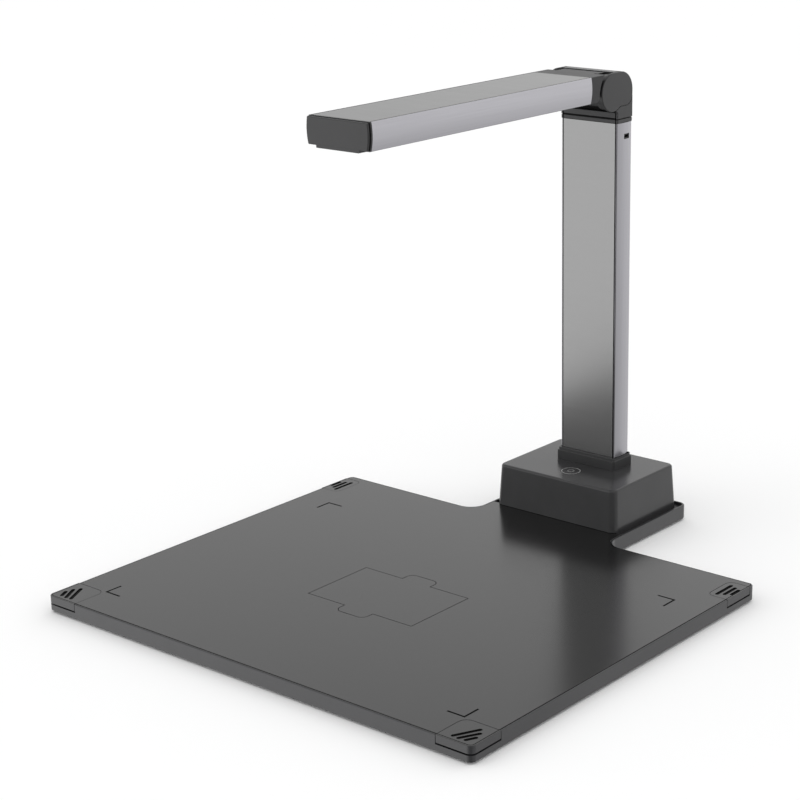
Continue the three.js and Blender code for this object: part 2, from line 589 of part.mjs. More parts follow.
function buildHingeHardware(body) {
  const h = hinge;
  const from = h.cheekOuter + GAP;
  const recess = 1.4;
  for (const [name, side] of [["left", -1], ["right", 1]]) {
    const [low, high] = [side * from, side * h.capOuter].sort((a, b) => a - b);
    const socket = rodX(h.head + 0.6, side * from - recess, side * from + recess, h.y, h.z);
    add("hinge_cap_" + name, cut(prismX(coverShape(0), low, high), socket), materials.plastic, body);
    const [near, far] = [side * (h.cheekInner - GAP - 1), side * (h.cheekInner - GAP)].sort((a, b) => a - b);
    add("friction_washer_" + name,
      cut(rodX(8.5, near, far, h.y, h.z), rodX(h.shaft + GAP, near - 1, far + 1, h.y, h.z)), materials.steel, body);
  }
  add("hinge_shaft", join(rodX(h.shaft, -from - 1, from + 0.2, h.y, h.z), rodX(h.head, from, from + 1, h.y, h.z, 6)),
    materials.steel, body);
  add("hinge_nut", cut(rodX(h.head, -from - 1, -from, h.y, h.z, 6),
    rodX(h.shaft + GAP, -from - 2, -from + 1, h.y, h.z)), materials.steel, body);
  add("torque_sleeve", cut(rodX(4.8, -12, 12, h.y, h.z), rodX(h.shaft + GAP, -13, 13, h.y, h.z)),
    materials.brass, body);
}

// ---------------------------------------------------------------- arm

// Half width of the arm at a height: bowed sides, widest a little above the middle.
function armHalf(z) {
  const { midZ, midHalf } = arm;
  const end = z > midZ ? [arm.top, arm.topHalf] : [arm.bottom, arm.bottomHalf];
  const share = (z - midZ) / (end[0] - midZ);
  return midHalf - (midHalf - end[1]) * share * share;
}

function armSection() {
  const steps = 8;
  const side = [];
  for (let i = 0; i <= steps; i++) {
    const z = arm.bottom + arm.edge * 0.6 + ((arm.top - arm.bottom - arm.edge * 1.2) * i) / steps;
    side.push([armHalf(z), z]);
  }
  const right = [[arm.bottomHalf - arm.edge, arm.bottom], ...side, [arm.topHalf - arm.edge * 0.4, arm.top]];
  const left = right.map(([x, z]) => [-x, z]).reverse();
  return polygon([...right, ...left]);
}

function buildKnuckle(body) {
  const h = hinge;
  const from = arm.root + GAP;
  const outer = prismY(armSection(), from, h.slot);
  const hollowEnd = disc(h.radius + h.clear);
  const clear = join(
    prismX(hollowEnd, h.cheekInner - GAP, 40), prismX(hollowEnd, -40, -h.cheekInner + GAP));
  // The underside rises towards the hinge.
  const relief = prismX(polygon([
    [h.y - 18.8, arm.bottom - 1], [h.y - 18.8, arm.bottom], [h.y - 15.2, h.z - 2.2],
    [h.y + 20, h.z - 2.2], [h.y + 20, arm.bottom - 1],
  ]), -40, 40);
  // Below the web the block is cut back to the barrel.
  const back = prismX(polygon([
    [h.y, h.z], [h.y + 40, h.z], [h.y + 40, h.z - 40], around(webEnd, 40),
  ]), -40, 40);
  const barrelHalf = h.cheekInner - 2 * GAP - 1;
  const barrel = rodX(h.barrel, -barrelHalf, barrelHalf, h.y, h.z, 36);
  const washers = join(
    rodX(9.2, barrelHalf, 40, h.y, h.z), rodX(9.2, -40, -barrelHalf, h.y, h.z));
  const spigot = block(-21.8, 21.8, from - 14, from + 1, arm.bottom + 2.2, arm.top - 6);
  const way = block(-6, 6, from - 20, from + 8, arm.top - 8, arm.top - 3.5);
  let made = cut(outer, clear, relief, back, washers);
  made = cut(join(made, barrel, spigot), rodX(5.1, -40, 40, h.y, h.z), way);
  add("arm_knuckle", made, materials.plastic, body);
}

function buildArmShell(body) {
  const y0 = arm.tip + arm.capThick + GAP;
  const outer = prismY(armSection(), y0, arm.root);
  const inside = block(-arm.wallInner, arm.wallInner, y0 - 1, arm.root + 1, arm.bottom + arm.web, arm.top + 1);
  const rabbetHalf = armStrip.half + SEAM;
  const rabbet = block(-rabbetHalf, rabbetHalf, y0 - 1, arm.root + 1, arm.top - armStrip.thick - GAP, arm.top + 1);
  const window = block(-cover.half - GAP, cover.half + GAP, y0 - 1, cover.back + GAP, arm.bottom - 1, arm.bottom + 3);
  add("arm_shell", cut(outer, inside, rabbet, window), materials.aluminium, body);
  add("arm_top_panel", block(-armStrip.half, armStrip.half, y0, arm.root, arm.top - armStrip.thick, arm.top),
    materials.brushed, body);
}

function buildArmEnds(body) {
  const capBack = arm.tip + arm.capThick;
  const step = block(-cover.half, cover.half, arm.tip, capBack, arm.bottom - cover.drop, arm.bottom + 1);
  const spigot = cut(
    block(-21.8, 21.8, capBack - 1, capBack + 6, arm.bottom + 2.4, arm.top - 2.2),
    block(-20, 20, capBack, capBack + 7, arm.bottom + 4, arm.top - 4),
  );
  add("arm_end_cap", join(prismY(armSection(), arm.tip, capBack), step, spigot), materials.plastic, body);

  const low = arm.bottom - cover.drop;
  const plateSolid = block(-cover.half, cover.half, capBack + GAP, cover.back, low, low + cover.thick);
  const holes = [rodZ(camera.windowRadius + GAP, 0, camera.y, low - 1, low + 5, 28)];
  for (const y of diffuserY) holes.push(block(-13.3, 13.3, y - 4.3, y + 4.3, low - 1, low + 5));
  add("arm_bottom_cover", cut(plateSolid, ...holes), materials.plastic, body);
}

function buildCamera(body) {
  const low = arm.bottom - cover.drop + GAP;
  add("lens_window", rodZ(camera.windowRadius, 0, camera.y, low, low + 1.4, 28), materials.glass, body);
  const lensProfile = [
    [0, 305.6], [3, 305.6], [4.2, 304.9], [6, 304.9], [6, 308.4], [7, 308.6], [7, 312.6], [0, 312.6],
  ].map(([r, z]) => new THREE.Vector2(r, z));
  const barrel = solid(new THREE.LatheGeometry(lensProfile, 24).rotateX(Math.PI / 2).translate(0, camera.y, 0));
  const holder = block(-9, 9, camera.y - 9, camera.y + 9, 309.6, 313.4);
  add("camera_lens", join(barrel, holder), materials.plastic, body);

  const half = camera.board / 2;
  const connector = block(-7, 7, camera.y + half - 4.5, camera.y + half - 0.5, 314.7, 317.4);
  add("camera_board", join(block(-half, half, camera.y - half, camera.y + half, 313.7, 314.9), connector),
    materials.board, body);

  let board = block(-16, 16, diffuserY[0] - 5, diffuserY[1] + 5, 307.2, 308.2);
  board = cut(board, rodZ(7.6, 0, camera.y, 300, 320, 24));
  for (const y of diffuserY)
    for (const x of [-9, 0, 9]) board = join(board, block(x - 1.5, x + 1.5, y - 1.5, y + 1.5, 306.3, 307.4));
  add("led_board", board, materials.board, body);

  diffuserY.forEach((y, i) => {
    const made = prismZ(roundedRectangle(-13, 13, y - 4, y + 4, 1), low, low + 1.6, 3);
    add("led_diffuser_" + ["front", "rear"][i], made, materials.diffuser, body);
  });
  add("arm_cable", block(-5, 5, camera.y + half - 0.2, arm.root + 5, 316.2, 316.6), materials.ribbon, body);
}

// ---------------------------------------------------------------- assembly

const base = new THREE.Group();
const armGroup = new THREE.Group();
group.add(base, armGroup);

buildPlateShell(base);
buildTopSheet(base);
buildBallast(base);
buildFeet(base);
for (const corner of corners) buildClip(corner, base);
buildHousing(base);
buildTouchKey(base);
buildBoards(base);
buildColumnFoot(base);
buildCollar(base);
buildColumn(base);
buildBracket(base);
buildHingeHardware(base);

buildKnuckle(armGroup);
buildArmShell(armGroup);
buildArmEnds(armGroup);
buildCamera(armGroup);

export default group;
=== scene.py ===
"""Looks of the book scanner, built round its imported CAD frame.

Lengths in the building code are millimetres in the part's own frame, and become metres in mesh_object().
+X is the user's right, +Y runs from the user to the column, +Z is up.
"""

import json
import math

import bmesh
import bpy
from mathutils import Matrix, Vector


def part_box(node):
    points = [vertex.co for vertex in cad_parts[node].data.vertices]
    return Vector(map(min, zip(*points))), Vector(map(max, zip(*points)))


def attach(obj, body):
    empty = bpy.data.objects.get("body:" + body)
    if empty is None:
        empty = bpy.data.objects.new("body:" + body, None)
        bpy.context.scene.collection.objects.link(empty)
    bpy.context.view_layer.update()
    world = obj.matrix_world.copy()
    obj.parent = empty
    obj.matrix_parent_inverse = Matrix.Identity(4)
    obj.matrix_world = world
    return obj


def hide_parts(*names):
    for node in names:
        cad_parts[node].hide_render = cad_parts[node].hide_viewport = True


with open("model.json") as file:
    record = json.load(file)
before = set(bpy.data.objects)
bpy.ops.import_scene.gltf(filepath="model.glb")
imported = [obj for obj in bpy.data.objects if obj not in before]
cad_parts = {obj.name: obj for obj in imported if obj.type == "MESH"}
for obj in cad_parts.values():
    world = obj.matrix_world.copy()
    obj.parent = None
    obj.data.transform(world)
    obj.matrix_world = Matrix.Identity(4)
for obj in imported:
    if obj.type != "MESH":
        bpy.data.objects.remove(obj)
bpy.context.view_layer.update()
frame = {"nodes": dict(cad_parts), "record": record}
MM = 0.001


def box_mm(node):
    """Lowest and highest corner of a CAD node, in millimetres."""
    low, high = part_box(node)
    return low / MM, high / MM


# ---------------------------------------------------------------- sizes from the frame

SHELL_LOW, SHELL_HIGH = box_mm("base_plate_shell")
_, SHEET_HIGH = box_mm("plate_top_sheet")
_, HOUSING_HIGH = box_mm("base_housing")
COLLAR_LOW, COLLAR_HIGH = box_mm("column_collar")
COLUMN_LOW, COLUMN_HIGH = box_mm("column_extrusion")
_, PLUG_HIGH = box_mm("column_top_plug")
BRACKET_LOW, BRACKET_HIGH = box_mm("hinge_bracket")
CAP_LOW, CAP_HIGH = box_mm("hinge_cap_right")
ARM_LOW, ARM_HIGH = box_mm("arm_shell")
TIP_LOW, _ = box_mm("arm_end_cap")
COVER_LOW, COVER_HIGH = box_mm("arm_bottom_cover")
KEY_LOW, KEY_HIGH = box_mm("touch_key")
WINDOW_LOW, WINDOW_HIGH = box_mm("lens_window")
PORT_LOW, PORT_HIGH = box_mm("side_port_socket")
USB_LOW, USB_HIGH = box_mm("usb_socket")
JACK_LOW, JACK_HIGH = box_mm("dc_socket")

PLATE_HALF = SHELL_HIGH.x
FRONT = SHELL_LOW.y
REAR = SHELL_HIGH.y
UNDERSIDE = SHELL_LOW.z
PLATE_TOP = SHEET_HIGH.z
TAB_LENGTH = 101
BACK_EDGE = REAR - TAB_LENGTH
TAB_HALF = 57.5
TAB_FILLET = 12
TAB_CORNER = 6
PLATE_CORNER = 4
SHARPEST = 0.5
SHEET_INSET = PLATE_HALF - SHEET_HIGH.x
GROOVE_WIDTH = 0.55
RIM = SHEET_INSET - GROOVE_WIDTH
SHEET_END = SHEET_HIGH.y
PAGE = (297, 210)
PAGE_Y = (WINDOW_LOW.y + WINDOW_HIGH.y) / 2
DISC = (CAP_HIGH.z - CAP_LOW.z) / 2
HINGE_Y = CAP_LOW.y + DISC
HINGE_Z = (CAP_LOW.z + CAP_HIGH.z) / 2
ARM_TOP = CAP_HIGH.z
ARM_BOTTOM = ARM_LOW.z


# ---------------------------------------------------------------- outlines

def arc(cx, cy, radius, start, end, steps=8):
    """Points on an arc, angles in degrees."""
    angles = [math.radians(start + (end - start) * i / steps) for i in range(steps + 1)]
    return [(cx + radius * math.cos(a), cy + radius * math.sin(a)) for a in angles]


def circle(cx, cy, radius, steps=64):
    return arc(cx, cy, radius, 0, 360, steps)[:-1]


def rounded(x0, x1, y0, y1, radii, steps=8):
    """A rectangle whose corners have their own radii, from the low-low corner anticlockwise."""
    a, b, c, d = radii if isinstance(radii, (list, tuple)) else [radii] * 4
    return (arc(x0 + a, y0 + a, a, 180, 270, steps) + arc(x1 - b, y0 + b, b, 270, 360, steps)
            + arc(x1 - c, y1 - c, c, 0, 90, steps) + arc(x0 + d, y1 - d, d, 90, 180, steps))


def plate_outline(inset, tab_end=REAR):
    """The plate with its tab, moved inwards by inset. A tab that ends early is cut square."""
    half, low, back = PLATE_HALF - inset, FRONT + inset, BACK_EDGE - inset
    tab, fillet = TAB_HALF - inset, TAB_FILLET + inset
    corner = max(PLATE_CORNER - inset, SHARPEST)
    end, end_corner = tab_end, 0.01
    if tab_end == REAR:
        end, end_corner = REAR - inset, max(TAB_CORNER - inset, SHARPEST)
    right = (arc(half - corner, low + corner, corner, 270, 360)
             + arc(half - corner, back - corner, corner, 0, 90)
             + arc(tab + fillet, back + fillet, fillet, 270, 180, 12)
             + arc(tab - end_corner, end - end_corner, end_corner, 0, 90))
    return right + [(-x, y) for x, y in reversed(right)]


def bar(start, end, width, steps=6):
    """A straight bar with round ends."""
    along = math.degrees(math.atan2(end[1] - start[1], end[0] - start[0]))
    r = width / 2
    return arc(*end, r, along - 90, along + 90, steps) + arc(*start, r, along + 90, along + 270, steps)


# ---------------------------------------------------------------- meshes

AXES = {"x": lambda u, v, w: (w, u, v), "y": lambda u, v, w: (u, w, v), "z": lambda u, v, w: (u, v, w)}


def mesh_object(name, verts, faces, material=None):
    data = bpy.data.meshes.new(name)
    data.from_pydata([Vector(v) * MM for v in verts], [], faces)
    bm = bmesh.new()
    bm.from_mesh(data)
    bmesh.ops.remove_doubles(bm, verts=bm.verts, dist=1e-7)
    bmesh.ops.recalc_face_normals(bm, faces=bm.faces)
    bm.to_mesh(data)
    bm.free()
    made = bpy.data.objects.new(name, data)
    bpy.context.scene.collection.objects.link(made)
    if material:
        data.materials.append(material)
    return made


def skin(name, rings, material=None):
    """A closed solid through rings with the same number of points, capped at both ends."""
    n = len(rings[0])
    verts = [p for r in rings for p in r]
    faces = [list(range(n)), list(range((len(rings) - 1) * n, len(rings) * n))]
    for k in range(len(rings) - 1):
        for i in range(n):
            j = (i + 1) % n
            faces.append([k * n + i, k * n + j, (k + 1) * n + j, (k + 1) * n + i])
    return mesh_object(name, verts, faces, material)


def prism(name, outline, axis, low, high, material=None):
    """An outline in the plane across an axis, extruded along that axis."""
    place = AXES[axis]
    return skin(name, [[place(u, v, w) for u, v in outline] for w in (low, high)], material)


def stack(name, outline_at, profile, material=None):
    """Level rings: outline_at(inset) at each (inset, height) of a profile."""
    return skin(name, [[(x, y, z) for x, y in outline_at(inset)] for inset, z in profile], material)


def lathe_z(name, profile, cx, cy, material=None, steps=64):
    """A turned solid about an upright axis, from a profile of (radius, z)."""
    rings = [[(cx + r * math.cos(a), cy + r * math.sin(a), z)
              for a in (2 * math.pi * i / steps for i in range(steps))] for r, z in profile]
    return skin(name, rings, material)


def fillet(inset, z, radius, steps=4):
    """The part of a profile that rounds an outer top edge: from the side wall to the flat top."""
    return [(inset + radius * (1 - math.cos(math.radians(90 * i / steps))),
             z - radius * (1 - math.sin(math.radians(90 * i / steps)))) for i in range(steps + 1)]


def apply_modifier(piece, modifier):
    bpy.context.view_layer.objects.active = piece
    bpy.ops.object.modifier_apply(modifier=modifier.name)


def combine(piece, others, operation="DIFFERENCE"):
    """Cuts other solids from a piece, or joins them to it, and removes them."""
    for other in others:
        modifier = piece.modifiers.new("combine", "BOOLEAN")
        modifier.operation = operation
        modifier.solver = "EXACT"
        modifier.material_mode = "TRANSFER"
        modifier.object = other
        apply_modifier(piece, modifier)
        bpy.data.objects.remove(other)
    return piece


def grouped(name, solids):
    """Several separate solids as one mesh, for one cut."""
    bpy.ops.object.select_all(action="DESELECT")
    for s in solids:
        s.select_set(True)
    bpy.context.view_layer.objects.active = solids[0]
    bpy.ops.object.join()
    solids[0].name = name
    return solids[0]


def soften(piece, width, segments=3, angle=35):
    """Rounds a piece's edges."""
    modifier = piece.modifiers.new("edges", "BEVEL")
    modifier.width = width * MM
    modifier.segments = segments
    modifier.limit_method = "ANGLE"
    modifier.angle_limit = math.radians(angle)
    modifier.use_clamp_overlap = True
    modifier.miter_outer = "MITER_ARC"
    apply_modifier(piece, modifier)
    return piece


def paint_sides(piece, front, material):
    """Gives a material to the faces that don't look along an axis."""
    piece.data.materials.append(material)
    index = len(piece.data.materials) - 1
    for face in piece.data.polygons:
        if abs(face.normal["xyz".index(front)]) < 0.6:
            face.material_index = index


def place(piece, body, slot, *nodes, smooth=32):
    """Smooths a finished piece's shading and fixes it to the body it moves with."""
    piece.data.shade_smooth()
    piece.data.set_sharp_from_angle(angle=math.radians(smooth))
    for face in piece.data.polygons:
        # A face with this many corners is a flat end or a flat side with cut-outs.
        if len(face.vertices) > 8:
            face.use_smooth = False
    normals = piece.modifiers.new("normals", "WEIGHTED_NORMAL")
    normals.keep_sharp = True
    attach(piece, body)
    if nodes:
        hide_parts(*nodes)
    return piece


# ---------------------------------------------------------------- materials

class Nodes:
    """A material's node tree, with short calls for what the finishes share."""

    def __init__(self, name):
        self.material = bpy.data.materials.new(name)
        self.material.use_nodes = True
        self.tree = self.material.node_tree
        self.shader = self.tree.nodes["Principled BSDF"]
        self.coords = self.tree.nodes.new("ShaderNodeTexCoord").outputs["Object"]

    def link(self, source, target):
        self.tree.links.new(source, target)

    def noise(self, scale, detail=3, stretch=(1, 1, 1)):
        mapping = self.tree.nodes.new("ShaderNodeMapping")
        mapping.inputs["Scale"].default_value = stretch
        texture = self.tree.nodes.new("ShaderNodeTexNoise")
        texture.inputs["Scale"].default_value = scale
        texture.inputs["Detail"].default_value = detail
        self.link(self.coords, mapping.inputs["Vector"])
        self.link(mapping.outputs["Vector"], texture.inputs["Vector"])
        return texture.outputs["Fac"]

    def between(self, fac, low, high):
        """A number that runs from low to high as fac runs over the middle of the noise."""
        node = self.tree.nodes.new("ShaderNodeMapRange")
        node.inputs["From Min"].default_value = 0.3
        node.inputs["From Max"].default_value = 0.7
        node.inputs["To Min"].default_value = low
        node.inputs["To Max"].default_value = high
        self.link(fac, node.inputs["Value"])
        return node.outputs["Result"]

    def shade(self, fac, colour, spread):
        """A colour that gets a little lighter and darker."""
        node = self.tree.nodes.new("ShaderNodeMix")
        node.data_type = "RGBA"
        node.inputs["A"].default_value = [*(c * (1 - spread) for c in colour), 1]
        node.inputs["B"].default_value = [*(c * (1 + spread) for c in colour), 1]
        self.link(self.between(fac, 0, 1), node.inputs["Factor"])
        return node.outputs["Result"]

    def bump(self, fac, strength, distance):
        node = self.tree.nodes.new("ShaderNodeBump")
        node.inputs["Strength"].default_value = strength
        node.inputs["Distance"].default_value = distance * MM
        self.link(fac, node.inputs["Height"])
        self.link(node.outputs["Normal"], self.shader.inputs["Normal"])


def moulded(name, colour, roughness, grain=1400, bump=0.12, ior=1.5, spread=0.07):
    """Moulded plastic: a fine spark-eroded grain, and a tone that drifts a little over the piece."""
    n = Nodes(name)
    n.link(n.shade(n.noise(45), colour, spread), n.shader.inputs["Base Color"])
    n.link(n.between(n.noise(160, 4), roughness * 0.96, roughness * 1.04), n.shader.inputs["Roughness"])
    n.bump(n.noise(grain, 2), bump, 0.05)
    n.shader.inputs["IOR"].default_value = ior
    return n.material


def brushed(name, colour, roughness, along, bump, spread, edge_tint=1.0):
    """Lacquered metal with short brush strokes along one axis."""
    n = Nodes(name)
    stretch = [1, 1, 1]
    stretch["xyz".index(along)] = 0.03
    strokes = n.noise(7500, 3, stretch)
    n.link(n.shade(strokes, colour, spread), n.shader.inputs["Base Color"])
    drift = n.between(n.noise(900, 2, stretch), roughness * 0.95, roughness * 1.05)
    n.link(drift, n.shader.inputs["Roughness"])
    n.bump(strokes, bump, 0.02)
    n.shader.inputs["Metallic"].default_value = 1
    n.shader.inputs["Specular Tint"].default_value = (edge_tint, edge_tint, edge_tint, 1)
    return n.material


def anodised(name, colour, roughness, along):
    """Bead-blasted and anodised aluminium, with faint extrusion lines along the profile."""
    n = Nodes(name)
    stretch = [1, 1, 1]
    stretch["xyz".index(along)] = 0.01
    n.link(n.shade(n.noise(1500, 2, stretch), colour, 0.03), n.shader.inputs["Base Color"])
    n.link(n.between(n.noise(700, 3), roughness * 0.9, roughness * 1.1), n.shader.inputs["Roughness"])
    n.bump(n.noise(6000, 1), 0.08, 0.02)
    n.shader.inputs["Metallic"].default_value = 1
    return n.material


def plated(name, colour, roughness):
    """Bare or plated metal with a fine, uneven surface."""
    n = Nodes(name)
    n.link(n.shade(n.noise(600, 3), colour, 0.08), n.shader.inputs["Base Color"])
    n.link(n.between(n.noise(1800, 3), roughness * 0.8, roughness * 1.2), n.shader.inputs["Roughness"])
    n.bump(n.noise(2500, 2), 0.1, 0.02)
    n.shader.inputs["Metallic"].default_value = 1
    return n.material


def glass(name):
    """Dark coated lens glass."""
    n = Nodes(name)
    n.link(n.between(n.noise(300, 2), 0.02, 0.05), n.shader.inputs["Roughness"])
    n.link(n.shade(n.noise(90, 2), (0.02, 0.024, 0.034), 0.2), n.shader.inputs["Base Color"])
    n.shader.inputs["Transmission Weight"].default_value = 0.55
    n.shader.inputs["Coat Weight"].default_value = 0.6
    n.shader.inputs["Coat Roughness"].default_value = 0.03
    return n.material


def milky(name):
    """Milky plastic that spreads the lamps' light."""
    n = Nodes(name)
    n.link(n.shade(n.noise(500, 3), (0.82, 0.82, 0.79), 0.03), n.shader.inputs["Base Color"])
    n.link(n.between(n.noise(900, 2), 0.4, 0.5), n.shader.inputs["Roughness"])
    n.shader.inputs["Subsurface Weight"].default_value = 0.3
    n.shader.inputs["Subsurface Scale"].default_value = 0.5 * MM
    return n.material


PLASTIC = (0.028, 0.028, 0.029)
SHELL = moulded("shell_plastic", (0.023, 0.023, 0.025), 0.38)
SHEET = moulded("sheet_plastic", (0.007, 0.007, 0.007), 0.2, grain=1500, bump=0.015, ior=1.51, spread=0.05)
HOUSING = moulded("housing_plastic", (0.034, 0.034, 0.035), 0.22, grain=1500, bump=0.01, ior=1.34)
TRIM = moulded("trim_plastic", PLASTIC, 0.34, grain=1800, bump=0.06, ior=1.35)
KNUCKLE = moulded("knuckle_plastic", (0.048, 0.048, 0.049), 0.4, grain=1800, bump=0.02, ior=1.15)
# Near-black, used as painted shade: the faces of grooves, gaps, holes and recesses take it where shade
# falls. The page and card marks on the sheet use it as their print.
PAINTED_SHADE_AND_MARKS = moulded("painted_shade_and_mark_black", (0.004, 0.004, 0.004), 0.7, ior=1.2)
BLACK = moulded("black_plastic", (0.008, 0.008, 0.008), 0.35)
RUBBER = moulded("foot_rubber", (0.015, 0.015, 0.015), 0.8, grain=900, bump=0.4)
INK = moulded("pale_ink", (0.28, 0.28, 0.28), 0.5, grain=2600, bump=0.05)
FRONT_PANEL = brushed("brushed_column_panel", (0.187, 0.187, 0.187), 0.24, "x", bump=0.01, spread=0.025)
TOP_PANEL = brushed("brushed_arm_panel", (0.21, 0.21, 0.21), 0.3, "x", bump=0.02, spread=0.05,
                    edge_tint=0.87)
COLUMN_METAL = anodised("anodised_column", (0.30, 0.296, 0.315), 0.2, "z")
ARM_METAL = anodised("anodised_arm", (0.35, 0.346, 0.367), 0.17, "y")
STEEL = plated("zinc_plated_steel", (0.55, 0.55, 0.56), 0.35)
BRASS = plated("turned_brass", (0.62, 0.47, 0.2), 0.3)
BOARD = moulded("solder_mask", (0.02, 0.11, 0.045), 0.35)
RIBBON = moulded("amber_film", (0.25, 0.14, 0.04), 0.4)
GLASS = glass("lens_glass")
MILKY = milky("milky_diffuser")


# ---------------------------------------------------------------- base plate

def corner_frames():
    """Each corner's name, its point, and which way is inwards along X and along Y."""
    for side, sx in (("left", -1), ("right", 1)):
        yield "front_" + side, sx * PLATE_HALF, FRONT, -sx, 1
        yield "rear_" + side, sx * PLATE_HALF, BACK_EDGE, -sx, -1


FOOT_PLACES = ("front_left", "front_right", "middle_left", "middle_right", "rear_left", "rear_right")

# Front clip: width, depth, inner corner radius. Rear clip: width, near end, far end, inner corner radius.
CLIP_FRONT = (25.6, 25.7, 6)
CLIP_REAR = (15.5, 6.2, 33.2, 5)
# Finger grips: the two ends of each one, from the clip's corner.
FRONT_STRIPES = (((16.9, 4.8), (9.5, 19.3)), ((12.7, 4.4), (6.6, 15.5)), ((8, 5), (5.3, 10.3)))
REAR_STRIPES = (((10.4, 12), (10.4, 29)), ((6.3, 14), (6.3, 26.5)), ((2.5, 16), (2.5, 24.2)))
STRIPE_WIDTH = 2.6
CLIP_LEDGE = UNDERSIDE + 4.4
CLIP_UNDERCUT = 0.9


def clip_outline(front, grow, outwards=0.0):
    """A clip's outline in its corner's frame, with its inner edges moved outwards by grow."""
    if front:
        width, depth, inner = CLIP_FRONT
        outer = 0.3 if outwards else 4
        return rounded(-outwards, width + grow, -outwards, depth + grow, (outer, 0.3, inner, 0.3))
    width, near, far, inner = CLIP_REAR
    return rounded(-outwards, width + grow, near - grow, far + grow, (0.3, inner, inner, 0.3))


def clip_cutter(name, grow, low, high):
    """The space of one clip, as a solid that runs out past the plate's edge."""
    for corner, x, y, in_x, in_y in corner_frames():
        if corner == name:
            outline = clip_outline(name.startswith("front"), grow, outwards=3)
            return prism("cut", [(x + in_x * u, y + in_y * v) for u, v in outline], "z", low, high)


def edge_groove(tab_end=SHEET_END):
    """The thin groove between the plate's rim and its top sheet."""
    # The groove's faces are near-black, painted shade.
    outer = prism("groove", plate_outline(RIM, tab_end), "z", PLATE_TOP - 1.2, PLATE_TOP + 3, PAINTED_SHADE_AND_MARKS)
    inner = prism("inner", plate_outline(SHEET_INSET, tab_end + 2), "z", PLATE_TOP - 2, PLATE_TOP + 4, PAINTED_SHADE_AND_MARKS)
    return combine(outer, [inner])


RIM_WALL = 1.6
WELL_DEPTH = 2.4


def build_shell():
    """The plate's tray, with the open trough at the end of the tab."""
    profile = [(1.2, UNDERSIDE), (0.5, UNDERSIDE + 0.15), (0.12, UNDERSIDE + 0.45), (0, UNDERSIDE + 0.9)]
    profile += fillet(0, PLATE_TOP - 0.15, 0.75, 5)
    profile += [(RIM_WALL - 0.2, PLATE_TOP - 0.15), (RIM_WALL, PLATE_TOP - 0.35),
                (RIM_WALL, PLATE_TOP - 1.4)]
    shell = stack("plate_shell", plate_outline, profile, SHELL)
    # The rabbet's faces are near-black, painted shade in the groove beside the sheet.
    rabbet = prism("cut", plate_outline(RIM, SHEET_END + 0.2), "z", PLATE_TOP - 1.4, PLATE_TOP + 3, PAINTED_SHADE_AND_MARKS)
    inner = TAB_HALF - RIM_WALL
    trough = rounded(-inner, inner, SHEET_END + 0.2, REAR - RIM_WALL, (0.3, 0.3, 4.4, 4.4))
    well = prism("cut", trough, "z", PLATE_TOP - WELL_DEPTH, PLATE_TOP + 3, SHELL)
    combine(shell, [rabbet, well])
    for name, *_ in corner_frames():
        combine(shell, [clip_cutter(name, 0.2, CLIP_LEDGE, PLATE_TOP + 3)])
    pockets = []
    for name in FOOT_PLACES:
        low, high = box_mm("foot_" + name)
        x, y = (low.x + high.x) / 2, (low.y + high.y) / 2
        pocket = circle(x, y, (high.y - low.y) / 2 + 0.3)
        pockets.append(prism("cut", pocket, "z", UNDERSIDE - 1, high.z + 0.3))
    combine(shell, [grouped("pockets", pockets)])
    place(shell, "base", "plate_plastic", "base_plate_shell")


MARK_HALF = 0.7
MARK_ARM = 12.4
CARD_HALF = (43.4, 27.8)
BULGE_HALF = 11.8
BULGE_RISE = 9.2
BULGE_ROUND = 5
HAIRLINE = 0.26


def page_marks():
    """Cutters of the four page corners."""
    half, arm = MARK_HALF, MARK_ARM
    for sx in (-1, 1):
        for sy in (-1, 1):
            x, y = sx * PAGE[0] / 2, PAGE_Y + sy * PAGE[1] / 2
            corner = [(half, half), (-arm, half), (-arm, -half), (-half, -half), (-half, -arm), (half, -arm)]
            yield prism("mark", [(x + sx * u, y + sy * v) for u, v in corner], "z",
                        PLATE_TOP - 0.35, PLATE_TOP + 2, PAINTED_SHADE_AND_MARKS)


def card_outline(grow):
    """A card's outline with a rounded finger bulge in the middle of each long edge."""
    x, y = CARD_HALF[0] + grow, CARD_HALF[1] + grow
    bulge_x, bulge_y, r = BULGE_HALF + grow, CARD_HALF[1] + BULGE_RISE + grow, BULGE_ROUND + grow
    upper = ([(x, y), (bulge_x, y)] + arc(bulge_x - r, bulge_y - r, r, 0, 90, 8)
             + arc(-bulge_x + r, bulge_y - r, r, 90, 180, 8) + [(-bulge_x, y), (-x, y)])
    return [(u, PAGE_Y + v) for u, v in upper] + [(-u, PAGE_Y - v) for u, v in upper]


def card_mark():
    """Cutter of the card's outline, a hairline."""
    outer = prism("mark", card_outline(HAIRLINE), "z", PLATE_TOP - 0.25, PLATE_TOP + 2, PAINTED_SHADE_AND_MARKS)
    return combine(outer, [prism("inner", card_outline(-HAIRLINE), "z", PLATE_TOP - 1, PLATE_TOP + 3, PAINTED_SHADE_AND_MARKS)])


def build_sheet():
    """The flat sheet of the plate, with the page corners and the card cut as fine grooves."""
    edge = fillet(SHEET_INSET, PLATE_TOP, 0.2, 3)
    sheet = stack("top_sheet", lambda inset: plate_outline(inset, SHEET_END),
                  [(SHEET_INSET, PLATE_TOP - 1.3)] + edge, SHEET)
    for name, *_ in corner_frames():
        combine(sheet, [clip_cutter(name, 0.05, PLATE_TOP - 3, PLATE_TOP + 3)])
    combine(sheet, list(page_marks()) + [card_mark()])
    place(sheet, "base", "plate_sheet", "plate_top_sheet")


